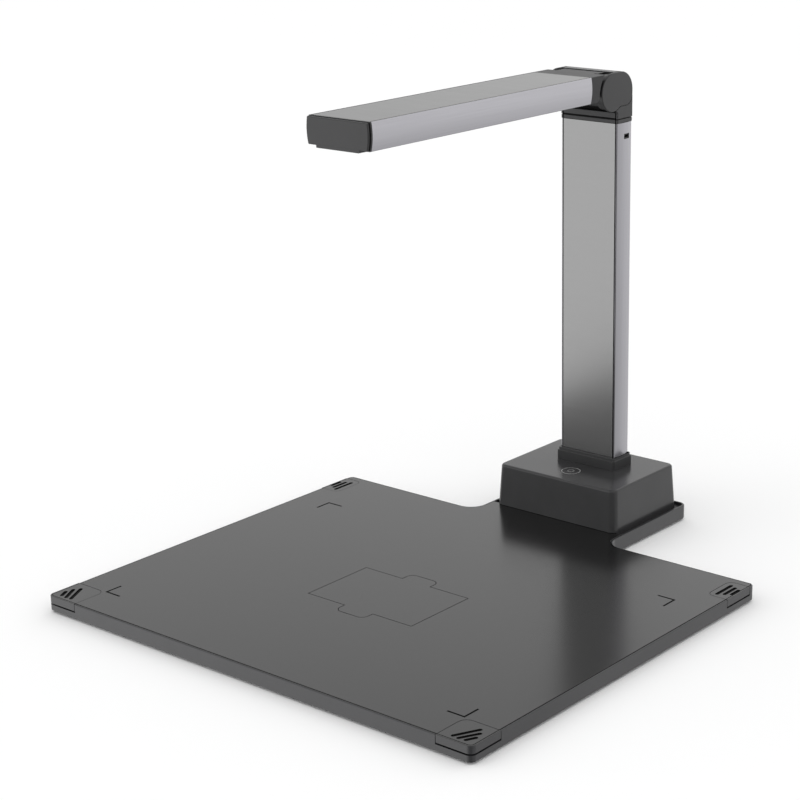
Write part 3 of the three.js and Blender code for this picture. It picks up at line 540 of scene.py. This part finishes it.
def build_clips():
    """The four corner pieces, each on its own body."""
    for name, x, y, in_x, in_y in corner_frames():
        front = name.startswith("front")

        def at(outline):
            return [(x + in_x * u, y + in_y * v) for u, v in outline]

        bottom = CLIP_LEDGE + CLIP_UNDERCUT
        piece = prism("clip_" + name, at(clip_outline(front, -0.1)), "z", bottom, PLATE_TOP, SHEET)
        soften(piece, 0.45)
        paint_sides(piece, "z", SHELL)
        # The edge groove and the finger grips leave faces in near-black painted shade.
        combine(piece, [edge_groove()])
        stripes = [prism("stripe", at(bar(a, b, STRIPE_WIDTH)), "z", PLATE_TOP - 0.8, PLATE_TOP + 2, PAINTED_SHADE_AND_MARKS)
                   for a, b in (FRONT_STRIPES if front else REAR_STRIPES)]
        combine(piece, stripes)
        place(piece, "corner_clip_" + name, "plate_sheet", "corner_clip_" + name)


def build_feet():
    """Rubber pads under the plate."""
    for name in FOOT_PLACES:
        low, high = box_mm("foot_" + name)
        radius = (high.y - low.y) / 2
        profile = [(radius - 1, 0.12), (radius - 0.9, 0), (radius - 0.5, 0), (radius - 0.15, 0.15),
                   (radius, 0.5), (radius, high.z)]
        foot = lathe_z("pad_" + name, profile, (low.x + high.x) / 2, (low.y + high.y) / 2, RUBBER, 48)
        place(foot, "base", "rubber", "foot_" + name)


# ---------------------------------------------------------------- base unit

HOUSING_LEAN = 0.054
HOUSING_CORNER = 5
HOUSING_FOOT = (51.5, 112.7, 191.0)
HOUSING_EDGE = 1.5
KEY_HOLE = 7.45
KEY_RADIUS = 7.3
KEY_RINGS = ((6.9, 6.25), (2.5, 1.95))
USB_OPENING = (4.8, 1.95, 1.8)
JACK_RADIUS = 4.6
JACK_DROP = 4.4
SOCKET_WALL = (181, 200)


def housing_ring(inset, z):
    """The housing's sides lean inwards with height."""
    lean = (z - PLATE_TOP) * HOUSING_LEAN + inset
    half, front, back = HOUSING_FOOT
    r = HOUSING_CORNER - inset * 0.6
    outline = rounded(-half + lean, half - lean, front + lean, back - lean, r, 10)
    return [(x, y, z) for x, y in outline]


def build_housing():
    """The tapered cover on the tab, open for the touch key and the two rear sockets."""
    top = HOUSING_HIGH.z
    rings = [housing_ring(0, 5), housing_ring(0, 15)]
    rings += [housing_ring(inset, z) for inset, z in fillet(0, top, HOUSING_EDGE, 6)]
    housing = skin("housing", rings, HOUSING)
    step = prism("cut", rounded(-80, 80, 60, SHEET_END + 0.8, 0.1, 1), "z", 0, PLATE_TOP + 0.25)
    # The key's gap and the two socket openings get faces in near-black painted shade.
    key = lathe_z("cut", [(KEY_HOLE, top - 2), (KEY_HOLE, top + 3)], 0, key_y(), PAINTED_SHADE_AND_MARKS)
    usb_x, usb_z = (USB_LOW.x + USB_HIGH.x) / 2, (USB_LOW.z + USB_HIGH.z) / 2
    wide, tall, r = USB_OPENING
    opening = rounded(usb_x - wide, usb_x + wide, usb_z - tall, usb_z + tall, r)
    usb = prism("cut", opening, "y", *SOCKET_WALL, PAINTED_SHADE_AND_MARKS)
    jack_x, jack_z = (JACK_LOW.x + JACK_HIGH.x) / 2, JACK_HIGH.z - JACK_DROP
    jack = prism("cut", circle(jack_x, jack_z, JACK_RADIUS), "y", *SOCKET_WALL, PAINTED_SHADE_AND_MARKS)
    combine(housing, [step, key, usb, jack])
    place(housing, "base", "housing_plastic", "base_housing")


def key_y():
    """The middle of the touch key along Y."""
    return (KEY_LOW.y + KEY_HIGH.y) / 2


def build_key():
    """The flush touch key, with two plain rings in pale ink."""
    top = KEY_HIGH.z
    profile = [(KEY_RADIUS, top - 1.8)] + [(KEY_RADIUS - i, z) for i, z in fillet(0, top, 0.15, 3)]
    key = lathe_z("touch_disc", profile, 0, key_y(), HOUSING, 96)
    cuts = []
    for outer, inner in KEY_RINGS:
        ring = lathe_z("ring", [(outer, top - 0.05), (outer, top + 1)], 0, key_y(), INK, 96)
        hole = lathe_z("hole", [(inner, top - 1), (inner, top + 2)], 0, key_y(), INK, 96)
        cuts.append(combine(ring, [hole]))
    combine(key, cuts)
    place(key, "base", "housing_plastic", "touch_key")


COLLAR_HOLE_HALF = 24.0
COLLAR_PLAY = 0.35


def build_collar():
    """The stepped collar round the foot of the column."""
    z0, z1 = COLLAR_LOW.z - 0.25, COLLAR_HIGH.z
    half, front, back = COLLAR_HIGH.x, COLLAR_LOW.y, COLLAR_HIGH.y

    def outline(inset):
        return rounded(-half + inset, half - inset, front + inset, back - inset, 1.5 - inset * 0.5)

    profile = [(0, z0), (0, z1 - 2.3), (0.12, z1 - 2.0), (0.75, z1 - 1.75), (0.8, z1 - 1.6)]
    profile += fillet(0.8, z1, 0.35, 3)
    collar = stack("collar", outline, profile, TRIM)
    wide, play = COLLAR_HOLE_HALF, COLLAR_PLAY
    inside = rounded(-wide, wide, COLUMN_LOW.y - play, COLUMN_HIGH.y + play, 1)
    # The hole's faces are near-black, painted shade in the gap round the column.
    hole = prism("cut", inside, "z", z0 - 1, z1 + 2, PAINTED_SHADE_AND_MARKS)
    place(combine(collar, [hole]), "base", "trim_plastic", "column_collar")


# ---------------------------------------------------------------- column

# The head's core and the groove beside it, which the column's front panel carries on.
CORE_HALF = 21.2
SIDE_GROOVE = 1.1
GROOVE = 0.8
COLUMN_WALLS = (2.2, 3, 1.8)
PORT_HALF = (3.1, 1.75)


def column_outline(bow=0.6):
    """Outer outline of the column: sides a little bowed, rear edges rounded."""
    half, front, back = COLUMN_HIGH.x, COLUMN_LOW.y, COLUMN_HIGH.y
    side = []
    steps = 12
    for i in range(steps + 1):
        t = i / steps
        side.append((half - bow * (2 * t - 1) ** 2, front + 0.2 + (back - front - 1.4) * t))
    edge = 1.1
    side = [p for p in side if p[1] > front + edge]
    right = (arc(half - bow - edge + 0.12, front + edge, edge, 270, 352, 8) + side
             + arc(half - bow - 1.2, back - 1.2, 1.2, 0, 90, 5))
    return right + [(-x, y) for x, y in reversed(right)]


def build_column():
    """The aluminium channel, its front panel and the socket in its side."""
    z0, z1 = COLUMN_LOW.z, COLUMN_HIGH.z
    column = prism("column_profile", column_outline(), "z", z0, z1, COLUMN_METAL)
    half, front, back = COLUMN_HIGH.x, COLUMN_LOW.y, COLUMN_HIGH.y
    inner = CORE_HALF + SIDE_GROOVE
    # The groove beside the front panel, the inside and the side port get faces in near-black painted shade.
    groove = prism("cut", rounded(-inner, inner, front - 2, front + 1.9, 0.1, 1), "z", z0 - 2, z1 + 2, PAINTED_SHADE_AND_MARKS)
    side_wall, front_wall, back_wall = COLUMN_WALLS
    inside = rounded(-half + side_wall, half - side_wall, front + front_wall, back - back_wall, 0.5)
    hollow = prism("cut", inside, "z", z0 - 2, z1 + 2, PAINTED_SHADE_AND_MARKS)
    y, z = (PORT_LOW.y + PORT_HIGH.y) / 2, (PORT_LOW.z + PORT_HIGH.z) / 2
    wide, tall = PORT_HALF
    port = prism("cut", rounded(y - wide, y + wide, z - tall, z + tall, 0.5), "x", half - 8, half + 3, PAINTED_SHADE_AND_MARKS)
    combine(column, [groove, hollow, port])
    place(column, "base", "anodised_aluminium", "column_extrusion")

    panel_half = inner - GROOVE
    panel = prism("front_panel", rounded(-panel_half, panel_half, front, front + 1.6, 0.1, 1), "z", z0, z1,
                  FRONT_PANEL)
    # The panel's edges are near-black, painted shade in the groove beside it.
    paint_sides(panel, "y", PAINTED_SHADE_AND_MARKS)
    place(panel, "base", "brushed_panel", "column_front_panel")

    # Inside the side port: a socket in black, which stands in for the shade inside the port, and a tongue of
    # black plastic. The mouth's faces take the near-black painted shade.
    body = rounded(y - 2.8, y + 2.8, z - 1.4, z + 1.4, 0.5)
    socket = prism("side_socket", body, "x", half - 8, half - 0.7, BLACK)
    mouth = prism("cut", rounded(y - 2.4, y + 2.4, z - 1.0, z + 1.0, 0.4), "x", half - 6, half + 2, PAINTED_SHADE_AND_MARKS)
    combine(socket, [mouth])
    blade = rounded(y - 1.8, y + 1.8, z - 0.3, z + 0.3, 0.1)
    tongue = prism("tongue", blade, "x", half - 7, half - 2, BLACK)
    combine(socket, [tongue], "UNION")
    place(socket, "base", "black_plastic", "side_port_socket")


def build_plug():
    """The thin band on top of the column, with a dark line between it and the neck."""
    half, front, back = COLUMN_HIGH.x, COLUMN_LOW.y, COLUMN_HIGH.y

    def outline(inset):
        return rounded(-half + inset, half - inset, front + inset, back - inset, (0.8, 0.8, 1.3, 1.3), 5)

    z0, z1 = COLUMN_HIGH.z + 0.12, PLUG_HIGH.z
    profile = [(0.25, z0), (0.05, z0 + 0.2)] + fillet(0, z1, 0.3, 3)
    plug = stack("top_plug", outline, profile, TRIM)
    # The neck line is a near-black filler, painted shade in the groove between the band and the neck; the
    # notches' faces take it too.
    combine(plug, [stack("neck_line", outline, [(0.35, z1 - 0.3), (0.35, z1 + 0.8)], PAINTED_SHADE_AND_MARKS)], "UNION")
    for side in (-1, 1):
        ends = sorted((side * (CORE_HALF + 0.2), side * (CORE_HALF + SIDE_GROOVE)))
        notch = rounded(*ends, front - 1, front + 1, 0.1, 1)
        combine(plug, [prism("cut", notch, "z", z0 - 1, z1 + 2, PAINTED_SHADE_AND_MARKS)])
    place(plug, "base", "trim_plastic", "column_top_plug")


# ---------------------------------------------------------------- hinge

NECK_FRONT = 152.6
NECK_BACK = BRACKET_HIGH.y
NECK_BOTTOM = BRACKET_LOW.z
NECK_TOP = 294.2
NECK_LINE = 0.55
HEAD_ROUND = 13.3
NECK_FILLET = 3.0
CHEEK_INNER = 16.6
BARREL = 10.2
SLOT = (146.7, 150.7)
COVER_LOWER = 298.2


def head_outline(inset=0.0):
    """The head from the side: round about the hinge, rounded at the upper back, with a neck below."""
    front, back, r = NECK_FRONT + inset, NECK_BACK - inset, DISC - inset
    hollow = NECK_FILLET + inset
    cy = front - hollow
    drop = math.sqrt((r + hollow) ** 2 - (cy - HINGE_Y) ** 2)
    touches = 360 + math.degrees(math.atan2(-drop, cy - HINGE_Y))
    top = ARM_TOP - inset
    upper = HEAD_ROUND - inset
    return ([(front, NECK_BOTTOM + inset), (back, NECK_BOTTOM + inset)]
            + arc(back - upper, top - upper, upper, 0, 90, 24)
            + arc(HINGE_Y, HINGE_Z, r, 90, touches, 64)
            + arc(cy, HINGE_Z - drop, hollow, touches - 180, 0, 12)[1:])


def plate_x(name, outline_at, inner, outer, side, material, edge=0.5):
    """A side plate of the head, with its outer edge rounded."""
    steps = [(0, inner)] + [(i, x) for i, x in fillet(0, outer, edge, 5)]
    return skin(name, [[(side * x, y, z) for y, z in outline_at(inset)] for inset, x in steps], material)


def build_bracket():
    """The core with its cheeks, neck and bridge, and the lower part of the side plates."""
    core = prism("head", head_outline(1.3), "x", -CORE_HALF, CORE_HALF, TRIM)
    band = rounded(NECK_FRONT, NECK_FRONT + 4, NECK_BOTTOM + NECK_LINE, NECK_TOP, (0.2, 0.2, 0.2, 0.5))
    lip = prism("lip", band, "x", -CORE_HALF - 0.1, CORE_HALF + 0.1, TRIM)
    skirt = prism("skirt", rounded(NECK_FRONT + 3, NECK_BACK, NECK_BOTTOM, NECK_TOP, 0.3), "x",
                  -CORE_HALF, CORE_HALF, TRIM)
    crown = prism("crown", arc(NECK_BACK - HEAD_ROUND, ARM_TOP - HEAD_ROUND, HEAD_ROUND, 0, 90, 24)
                  + [(SLOT[1], ARM_TOP), (SLOT[1], HINGE_Z + 3), (NECK_BACK - 3, NECK_TOP - 1),
                     (NECK_BACK, NECK_TOP - 1)], "x", -CORE_HALF, CORE_HALF, TRIM)
    combine(core, [lip, skirt, crown], "UNION")
    far, deep = 60, NECK_FRONT + 2
    # The opening between the cheeks has faces in near-black painted shade.
    opening = [(SLOT[1], HINGE_Z), (SLOT[1], HINGE_Z + far), (HINGE_Y - far, HINGE_Z + far),
               (HINGE_Y - far, NECK_TOP), (deep, NECK_TOP), (deep, HINGE_Z)]
    combine(core, [
        prism("cut", circle(HINGE_Y, HINGE_Z, BARREL + 0.5, 96), "x", -CHEEK_INNER, CHEEK_INNER, TRIM),
        prism("cut", opening, "x", -CHEEK_INNER, CHEEK_INNER, PAINTED_SHADE_AND_MARKS),
    ])
    soften(core, 0.2, 3, 40)
    inner, outer = CORE_HALF + SIDE_GROOVE, CAP_HIGH.x
    for side in (-1, 1):
        # A web holds each side plate off the core, so that the groove between them is open all round. The
        # web is near-black, painted shade at the bottom of the groove.
        ends = sorted((side * (CORE_HALF - 1), side * (inner + 0.2)))
        web = prism("web", head_outline(3.2), "x", *ends, PAINTED_SHADE_AND_MARKS)
        low = plate_x("low", head_outline, inner, outer, side, TRIM)
        combine(low, [cover_solid("cut", 0.12, side, CORE_HALF - 3, outer + 2)])
        combine(core, [web, low], "UNION")
    place(core, "base", "trim_plastic", "hinge_bracket")


def cover_outline(inset=0.0):
    """The cover's outline: the head's, down to a line above the neck."""
    r, low = DISC - inset, COVER_LOWER + inset
    back, top, upper, lower = NECK_BACK - inset, ARM_TOP - inset, HEAD_ROUND - inset, 7.5 - inset
    meets = 360 + math.degrees(math.asin((low - HINGE_Z) / r))
    return (arc(back - lower, low + lower, lower, 270, 360, 16)
            + arc(back - upper, top - upper, upper, 0, 90, 24)
            + arc(HINGE_Y, HINGE_Z, r, 90, meets, 64))


def cover_solid(name, grow, side, inner, outer):
    return prism(name, cover_outline(-grow), "x", *sorted((side * inner, side * outer)), TRIM)


def build_caps():
    """The covers over the ends of the hinge shaft."""
    for name, side in (("left", -1), ("right", 1)):
        steps = [(0.5, CORE_HALF + 0.1), (0.5, CORE_HALF + SIDE_GROOVE), (0, CORE_HALF + SIDE_GROOVE + 0.1)]
        steps += fillet(0, CAP_HIGH.x, 0.55, 6)
        rings = [[(side * x, y, z) for y, z in cover_outline(inset)] for inset, x in steps]
        place(skin("cap_" + name, rings, TRIM), "base", "trim_plastic", "hinge_cap_" + name)


# ---------------------------------------------------------------- arm

ARM_MID_HALF = ARM_HIGH.x
ARM_TOP_HALF = 24.2
ARM_BOTTOM_HALF = 23.7
ARM_MID = 313.4
ARM_EDGE = 0.7
PANEL_THICK = 1.5
PANEL_LINE = 1.0
ARM_CAVITY_HALF = 22.2
ARM_FLOOR = 1.6
COVER_OPENING_HALF = 17.2
DIMPLE_PLACE = (15.1, 138.5)


def arm_half(z):
    """Half width of the arm at a height: the sides are bowed."""
    end, half = (ARM_TOP, ARM_TOP_HALF) if z > ARM_MID else (ARM_BOTTOM, ARM_BOTTOM_HALF)
    share = (z - ARM_MID) / (end - ARM_MID)
    return ARM_MID_HALF - (ARM_MID_HALF - half) * share * share


def arm_outline(inset=0.0, steps=22):
    """The arm's section across its length, with rounded long edges."""
    low, high = ARM_BOTTOM + inset, ARM_TOP - inset
    e = ARM_EDGE
    side = []
    for i in range(steps + 1):
        z = low + e + (high - low - 2 * e) * i / steps
        side.append((arm_half(z) - inset, z))
    lower = arc(side[0][0] - e, side[0][1], e, 270, 360, 5)[:-1]
    upper = arc(side[-1][0] - e, side[-1][1], e, 0, 90, 5)[1:]
    right = lower + side + upper
    return right + [(-x, z) for x, z in reversed(right)]


def build_arm_shell():
    """The arm's aluminium channel and the brushed panel let into its top."""
    y0, y1 = ARM_LOW.y, ARM_HIGH.y
    shell = prism("arm_profile", arm_outline(), "y", y0, y1, ARM_METAL)
    rabbet = ARM_TOP_HALF - 0.6
    seat = rounded(-rabbet, rabbet, ARM_TOP - PANEL_THICK - 0.2, ARM_TOP + 3, 0.1, 1)
    cavity = rounded(-ARM_CAVITY_HALF, ARM_CAVITY_HALF, ARM_BOTTOM + ARM_FLOOR, ARM_TOP + 2, 0.1, 1)
    opening = rounded(-COVER_OPENING_HALF, COVER_OPENING_HALF, y0 - 3, COVER_HIGH.y + 0.2, 0.1, 1)
    # The panel's seat, the cavity and the cover opening get faces in near-black painted shade.
    cuts = [prism("cut", outline, "y", y0 - 3, y1 + 3, PAINTED_SHADE_AND_MARKS) for outline in (seat, cavity)]
    cuts.append(prism("cut", opening, "z", ARM_BOTTOM - 2, ARM_BOTTOM + 3, PAINTED_SHADE_AND_MARKS))
    combine(shell, cuts)
    soften(shell, 0.12, 2, 50)
    place(shell, "arm", "anodised_aluminium", "arm_shell")
    half = rabbet - PANEL_LINE
    strip = rounded(-half, half, ARM_TOP - PANEL_THICK, ARM_TOP, 0.1, 1)
    panel = prism("arm_panel", strip, "y", y0, y1, TOP_PANEL)
    # The panel's edges are near-black, painted shade in the line beside it.
    paint_sides(panel, "z", PAINTED_SHADE_AND_MARKS)
    place(panel, "arm", "brushed_panel", "arm_top_panel")


RING_GAP = 3.2
BARREL_SEAT = 9.2
SHAFT_BORE = 5.1
WEB_ANGLE = 193
THROAT = (18.8, 15.2, 2.2)
FAR = 60


def build_knuckle():
    """The block between the arm and the head, with the barrel that turns between the cheeks."""
    y0, gap = ARM_HIGH.y + 0.25, DISC + RING_GAP
    block = prism("knuckle", arm_outline(), "y", y0, SLOT[0], KNUCKLE)
    inner, far = CHEEK_INNER - 0.3, FAR
    cuts = []
    for side in (-1, 1):
        # The hollow end that faces the head, with its outer edge bevelled; its faces take near-black painted
        # shade.
        rings = [[(side * x, y, z) for y, z in circle(HINGE_Y, HINGE_Z, r, 128)]
                 for r, x in ((gap, inner), (gap, 23.2), (gap + 0.9, 24.1), (gap + 3.2, 30))]
        cuts.append(skin("cut", rings, PAINTED_SHADE_AND_MARKS))
    # The sloping throat under the barrel: how far before the hinge it starts at the arm's underside and at
    # its roof, and how far the roof is below the hinge.
    foot, mouth, drop = THROAT
    roof = HINGE_Z - drop
    throat = [(HINGE_Y - foot, ARM_BOTTOM - 1), (HINGE_Y - foot, ARM_BOTTOM), (HINGE_Y - mouth, roof),
              (HINGE_Y + 20, roof), (HINGE_Y + 20, ARM_BOTTOM - 1)]
    cuts.append(prism("cut", throat, "x", -far, far, TRIM))
    web = math.radians(WEB_ANGLE)
    below = [(HINGE_Y, HINGE_Z), (HINGE_Y + far * math.cos(web), HINGE_Z + far * math.sin(web)),
             (HINGE_Y + far, HINGE_Z - far), (HINGE_Y + far, HINGE_Z)]
    cuts.append(prism("cut", below, "x", -far, far, TRIM))
    barrel_half = CHEEK_INNER - 1.6
    cuts += [prism("cut", circle(HINGE_Y, HINGE_Z, BARREL_SEAT), "x", *ends, TRIM)
             for ends in ((barrel_half, far), (-far, -barrel_half))]
    combine(block, cuts)
    barrel = prism("barrel", circle(HINGE_Y, HINGE_Z, BARREL, 96), "x", -barrel_half, barrel_half, TRIM)
    combine(block, [barrel], "UNION")
    # The bore and the dimple have faces in near-black painted shade.
    bore = prism("cut", circle(HINGE_Y, HINGE_Z, SHAFT_BORE), "x", -far, far, PAINTED_SHADE_AND_MARKS)
    sunk = [(0.5, ARM_TOP - 0.9), (0.8, ARM_TOP - 0.25), (1.2, ARM_TOP + 0.3)]
    dimple = lathe_z("cut", sunk, *DIMPLE_PLACE, PAINTED_SHADE_AND_MARKS, 32)
    combine(block, [bore, dimple])
    soften(block, 0.2, 3, 40)
    place(block, "arm", "trim_plastic", "arm_knuckle", smooth=20)


def build_end_cap():
    """The plastic end of the arm: a face plate, a dark shadow line, and a band against the aluminium."""
    y0, y1 = TIP_LOW.y, ARM_LOW.y - 0.25
    step_half, low = COVER_HIGH.x, COVER_LOW.z

    def ring(inset, y):
        return [(x, y, z) for x, z in arm_outline(inset)]

    profile = [(1.1, y0), (0.75, y0 + 0.1), (0.52, y0 + 0.3), (0.45, y0 + 0.6), (0.45, y0 + 1.0)]
    rings = [ring(inset, y) for inset, y in profile]
    face = skin("end_cap", rings, TRIM)
    # The neck ring is near-black: the shadow line is painted shade.
    neck = skin("neck", [ring(0.6, y0 + 0.9), ring(0.6, y0 + 2.3)], PAINTED_SHADE_AND_MARKS)
    band = skin("band", [ring(0.06, y0 + 2.2), ring(0, y0 + 2.35), ring(0, y1)], TRIM)
    foot = prism("foot", rounded(-step_half, step_half, low, ARM_BOTTOM + 1, 0.5), "y", y0 + 0.15, y1, TRIM)
    combine(face, [neck, band, foot], "UNION")
    place(face, "arm", "trim_plastic", "arm_end_cap")


def build_cover():
    """The plastic cover under the camera end, with the lens window and the two lamps in it."""
    low, high = COVER_LOW.z, COVER_HIGH.z
    half, y0, y1 = COVER_HIGH.x, COVER_LOW.y, COVER_HIGH.y
    cover = prism("camera_cover", rounded(-half, half, y0, y1, 0.6), "z", low, high, TRIM)
    soften(cover, 0.35, 3)
    radius = (WINDOW_HIGH.x - WINDOW_LOW.x) / 2
    # The window's and the lamps' openings get faces in near-black painted shade.
    cuts = [lathe_z("cut", [(radius + 0.2, low - 2), (radius + 0.2, high + 2)], 0, PAGE_Y, PAINTED_SHADE_AND_MARKS)]
    for node in ("led_diffuser_front", "led_diffuser_rear"):
        a, b = box_mm(node)
        opening = rounded(a.x - 0.2, b.x + 0.2, a.y - 0.2, b.y + 0.2, 1.2)
        cuts.append(prism("cut", opening, "z", low - 2, high + 2, PAINTED_SHADE_AND_MARKS))
        lamp_name = node.replace("diffuser", "lamp")
        lamp = prism(lamp_name, rounded(a.x, b.x, a.y, b.y, 1), "z", a.z, b.z, MILKY)
        place(soften(lamp, 0.25, 3), "arm", "diffuser", node)
    place(combine(cover, cuts), "arm", "trim_plastic", "arm_bottom_cover")

    pane = lathe_z("window_pane", [(radius - 0.3, WINDOW_LOW.z), (radius, WINDOW_LOW.z + 0.3),
                                   (radius, WINDOW_HIGH.z)], 0, PAGE_Y, GLASS, 96)
    place(pane, "arm", "lens_glass", "lens_window")


# ---------------------------------------------------------------- carried-over nodes

CARRIED = {
    "circuit_board": BOARD, "steel": STEEL, "brass": BRASS, "ribbon_cable": RIBBON, "black_plastic": BLACK,
}


def finish_carried_nodes():
    """Every CAD node that still shows gets its finish by the record's material slot."""
    slot_of = {s["node"]: s["material_slot"] for s in frame["record"]["subparts"]}
    for name, node in frame["nodes"].items():
        if node.hide_render:
            continue
        node.data.materials.clear()
        node.data.materials.append(CARRIED[slot_of[name]])


# ---------------------------------------------------------------- stage

CAMERA_PLACE = (796.1, -953.9, 507.8)
CAMERA_AZIMUTH = 39.23
CAMERA_ELEVATION = 17.07
CAMERA_ROLL = -0.72
LENS = 90.72
SENSOR = 36
SHIFT = -0.0875


def build_camera():
    """A camera at the given place: azimuth is measured from the -Y direction towards +X."""
    az, el, roll = (math.radians(a) for a in (CAMERA_AZIMUTH, CAMERA_ELEVATION, CAMERA_ROLL))
    back = Vector((math.sin(az) * math.cos(el), -math.cos(az) * math.cos(el), math.sin(el)))
    right = (-back).cross(Vector((0, 0, 1))).normalized()
    up = right.cross(-back)
    turned_right = math.cos(roll) * right + math.sin(roll) * up
    turned_up = -math.sin(roll) * right + math.cos(roll) * up
    data = bpy.data.cameras.new("camera")
    data.sensor_width = SENSOR
    data.lens = LENS
    data.shift_x = SHIFT
    data.clip_start, data.clip_end = 0.05, 50
    camera = bpy.data.objects.new("camera", data)
    bpy.context.scene.collection.objects.link(camera)
    turn = Matrix((turned_right, turned_up, back)).transposed().to_4x4()
    camera.matrix_world = Matrix.Translation(Vector(CAMERA_PLACE) * MM) @ turn
    bpy.context.scene.camera = camera


FLOOR_WHITE = (0.94, 0.94, 0.94)
FLOOR_REACH_METRES = 9.0


def build_floor():
    """A plain pale floor. Reflections see the studio's lower half instead of it."""
    reach = FLOOR_REACH_METRES
    corners = [(-reach, -reach, 0), (reach, -reach, 0), (reach, reach, 0), (-reach, reach, 0)]
    floor = mesh_object("floor", [Vector(c) / MM for c in corners], [(0, 1, 2, 3)])
    n = Nodes("floor_paper")
    n.link(n.shade(n.noise(0.6, 2), FLOOR_WHITE, 0.004), n.shader.inputs["Base Color"])
    n.shader.inputs["Roughness"].default_value = 0.9
    n.shader.inputs["Specular IOR Level"].default_value = 0
    floor.data.materials.append(n.material)
    floor.visible_glossy = False


def area_light(name, place_mm, aim_mm, size_mm, power):
    """A soft rectangular lamp that looks from one point at another."""
    data = bpy.data.lights.new(name, "AREA")
    data.shape = "RECTANGLE"
    data.size, data.size_y = (s * MM for s in size_mm)
    data.energy = power
    light = bpy.data.objects.new(name, data)
    bpy.context.scene.collection.objects.link(light)
    where, aim = Vector(place_mm) * MM, Vector(aim_mm) * MM
    light.location = where
    light.rotation_euler = (aim - where).to_track_quat("-Z", "Y").to_euler()


# The studio round the object, fixed in the world: a room that darkens downwards, with two soft bright
# ends, at the back and at the front left, and a dark one below the horizon at the front right.
# LOWER_HALF: heights where the ramp starts and ends, and its light at both.
# BRIGHT_ENDS: azimuth, elevation, the cosine at which it starts, and its strength.
# DARK_END: azimuth, elevation, and the cosines at which it starts and is full.
LOWER_HALF = (-0.65, 0, 0.66, 1.0)
BRIGHT_ENDS = ((172, 2, 0.56, 0.42), (-42, -10, 0.6, 1.2))
DARK_END = (39, -17, 0.80, 0.97)
DARK_DEPTH = 0.9
DARK_HEIGHTS = (-0.12, 0)
OVERHEAD_PLACE = (-300, -200, 2200)
OVERHEAD_SIZE = (2400, 2400)
OVERHEAD_WATTS = 1.5


def direction(azimuth, elevation):
    """A unit vector; azimuth is measured from the -Y direction towards +X."""
    az, el = math.radians(azimuth), math.radians(elevation)
    return math.sin(az) * math.cos(el), -math.cos(az) * math.cos(el), math.sin(el)


def build_lights():
    """The studio's world and its one lamp."""
    world = bpy.data.worlds.new("studio")
    bpy.context.scene.world = world
    world.use_nodes = True
    tree = world.node_tree
    background = tree.nodes["Background"]
    look = tree.nodes.new("ShaderNodeTexCoord").outputs["Generated"]

    def along(vector):
        node = tree.nodes.new("ShaderNodeVectorMath")
        node.operation = "DOT_PRODUCT"
        node.inputs[1].default_value = vector
        tree.links.new(look, node.inputs[0])
        return node.outputs["Value"]

    def ramp(value, start, end, low, high):
        node = tree.nodes.new("ShaderNodeMapRange")
        node.interpolation_type = "SMOOTHSTEP"
        for key, number in (("From Min", start), ("From Max", end), ("To Min", low), ("To Max", high)):
            node.inputs[key].default_value = number
        tree.links.new(value, node.inputs["Value"])
        return node.outputs["Result"]

    def combined(operation, a, b):
        node = tree.nodes.new("ShaderNodeMath")
        node.operation = operation
        tree.links.new(a, node.inputs[0])
        tree.links.new(b, node.inputs[1])
        return node.outputs["Value"]

    light = ramp(along((0, 0, 1)), *LOWER_HALF)
    for azimuth, elevation, spread, strength in BRIGHT_ENDS:
        light = combined("ADD", light, ramp(along(direction(azimuth, elevation)), spread, 1, 0, strength))
    azimuth, elevation, start, full = DARK_END
    dark = ramp(along(direction(azimuth, elevation)), start, full, 0, DARK_DEPTH)
    dark = combined("MULTIPLY", dark, ramp(along((0, 0, 1)), *DARK_HEIGHTS, 1, 0))
    lit = ramp(dark, 0, 1, 1, 0)
    lit.node.interpolation_type = "LINEAR"
    tree.links.new(combined("MULTIPLY", light, lit), background.inputs["Strength"])
    background.inputs["Color"].default_value = (1, 1, 1, 1)
    area_light("overhead", OVERHEAD_PLACE, (0, 0, 0), OVERHEAD_SIZE, OVERHEAD_WATTS)
    bpy.context.scene.view_settings.view_transform = "Standard"


# ---------------------------------------------------------------- assembly

build_camera()
build_floor()
build_lights()

build_shell()
build_sheet()
build_clips()
build_feet()
build_housing()
build_key()
build_collar()
build_column()
build_plug()
build_bracket()
build_caps()
build_arm_shell()
build_knuckle()
build_end_cap()
build_cover()
finish_carried_nodes()
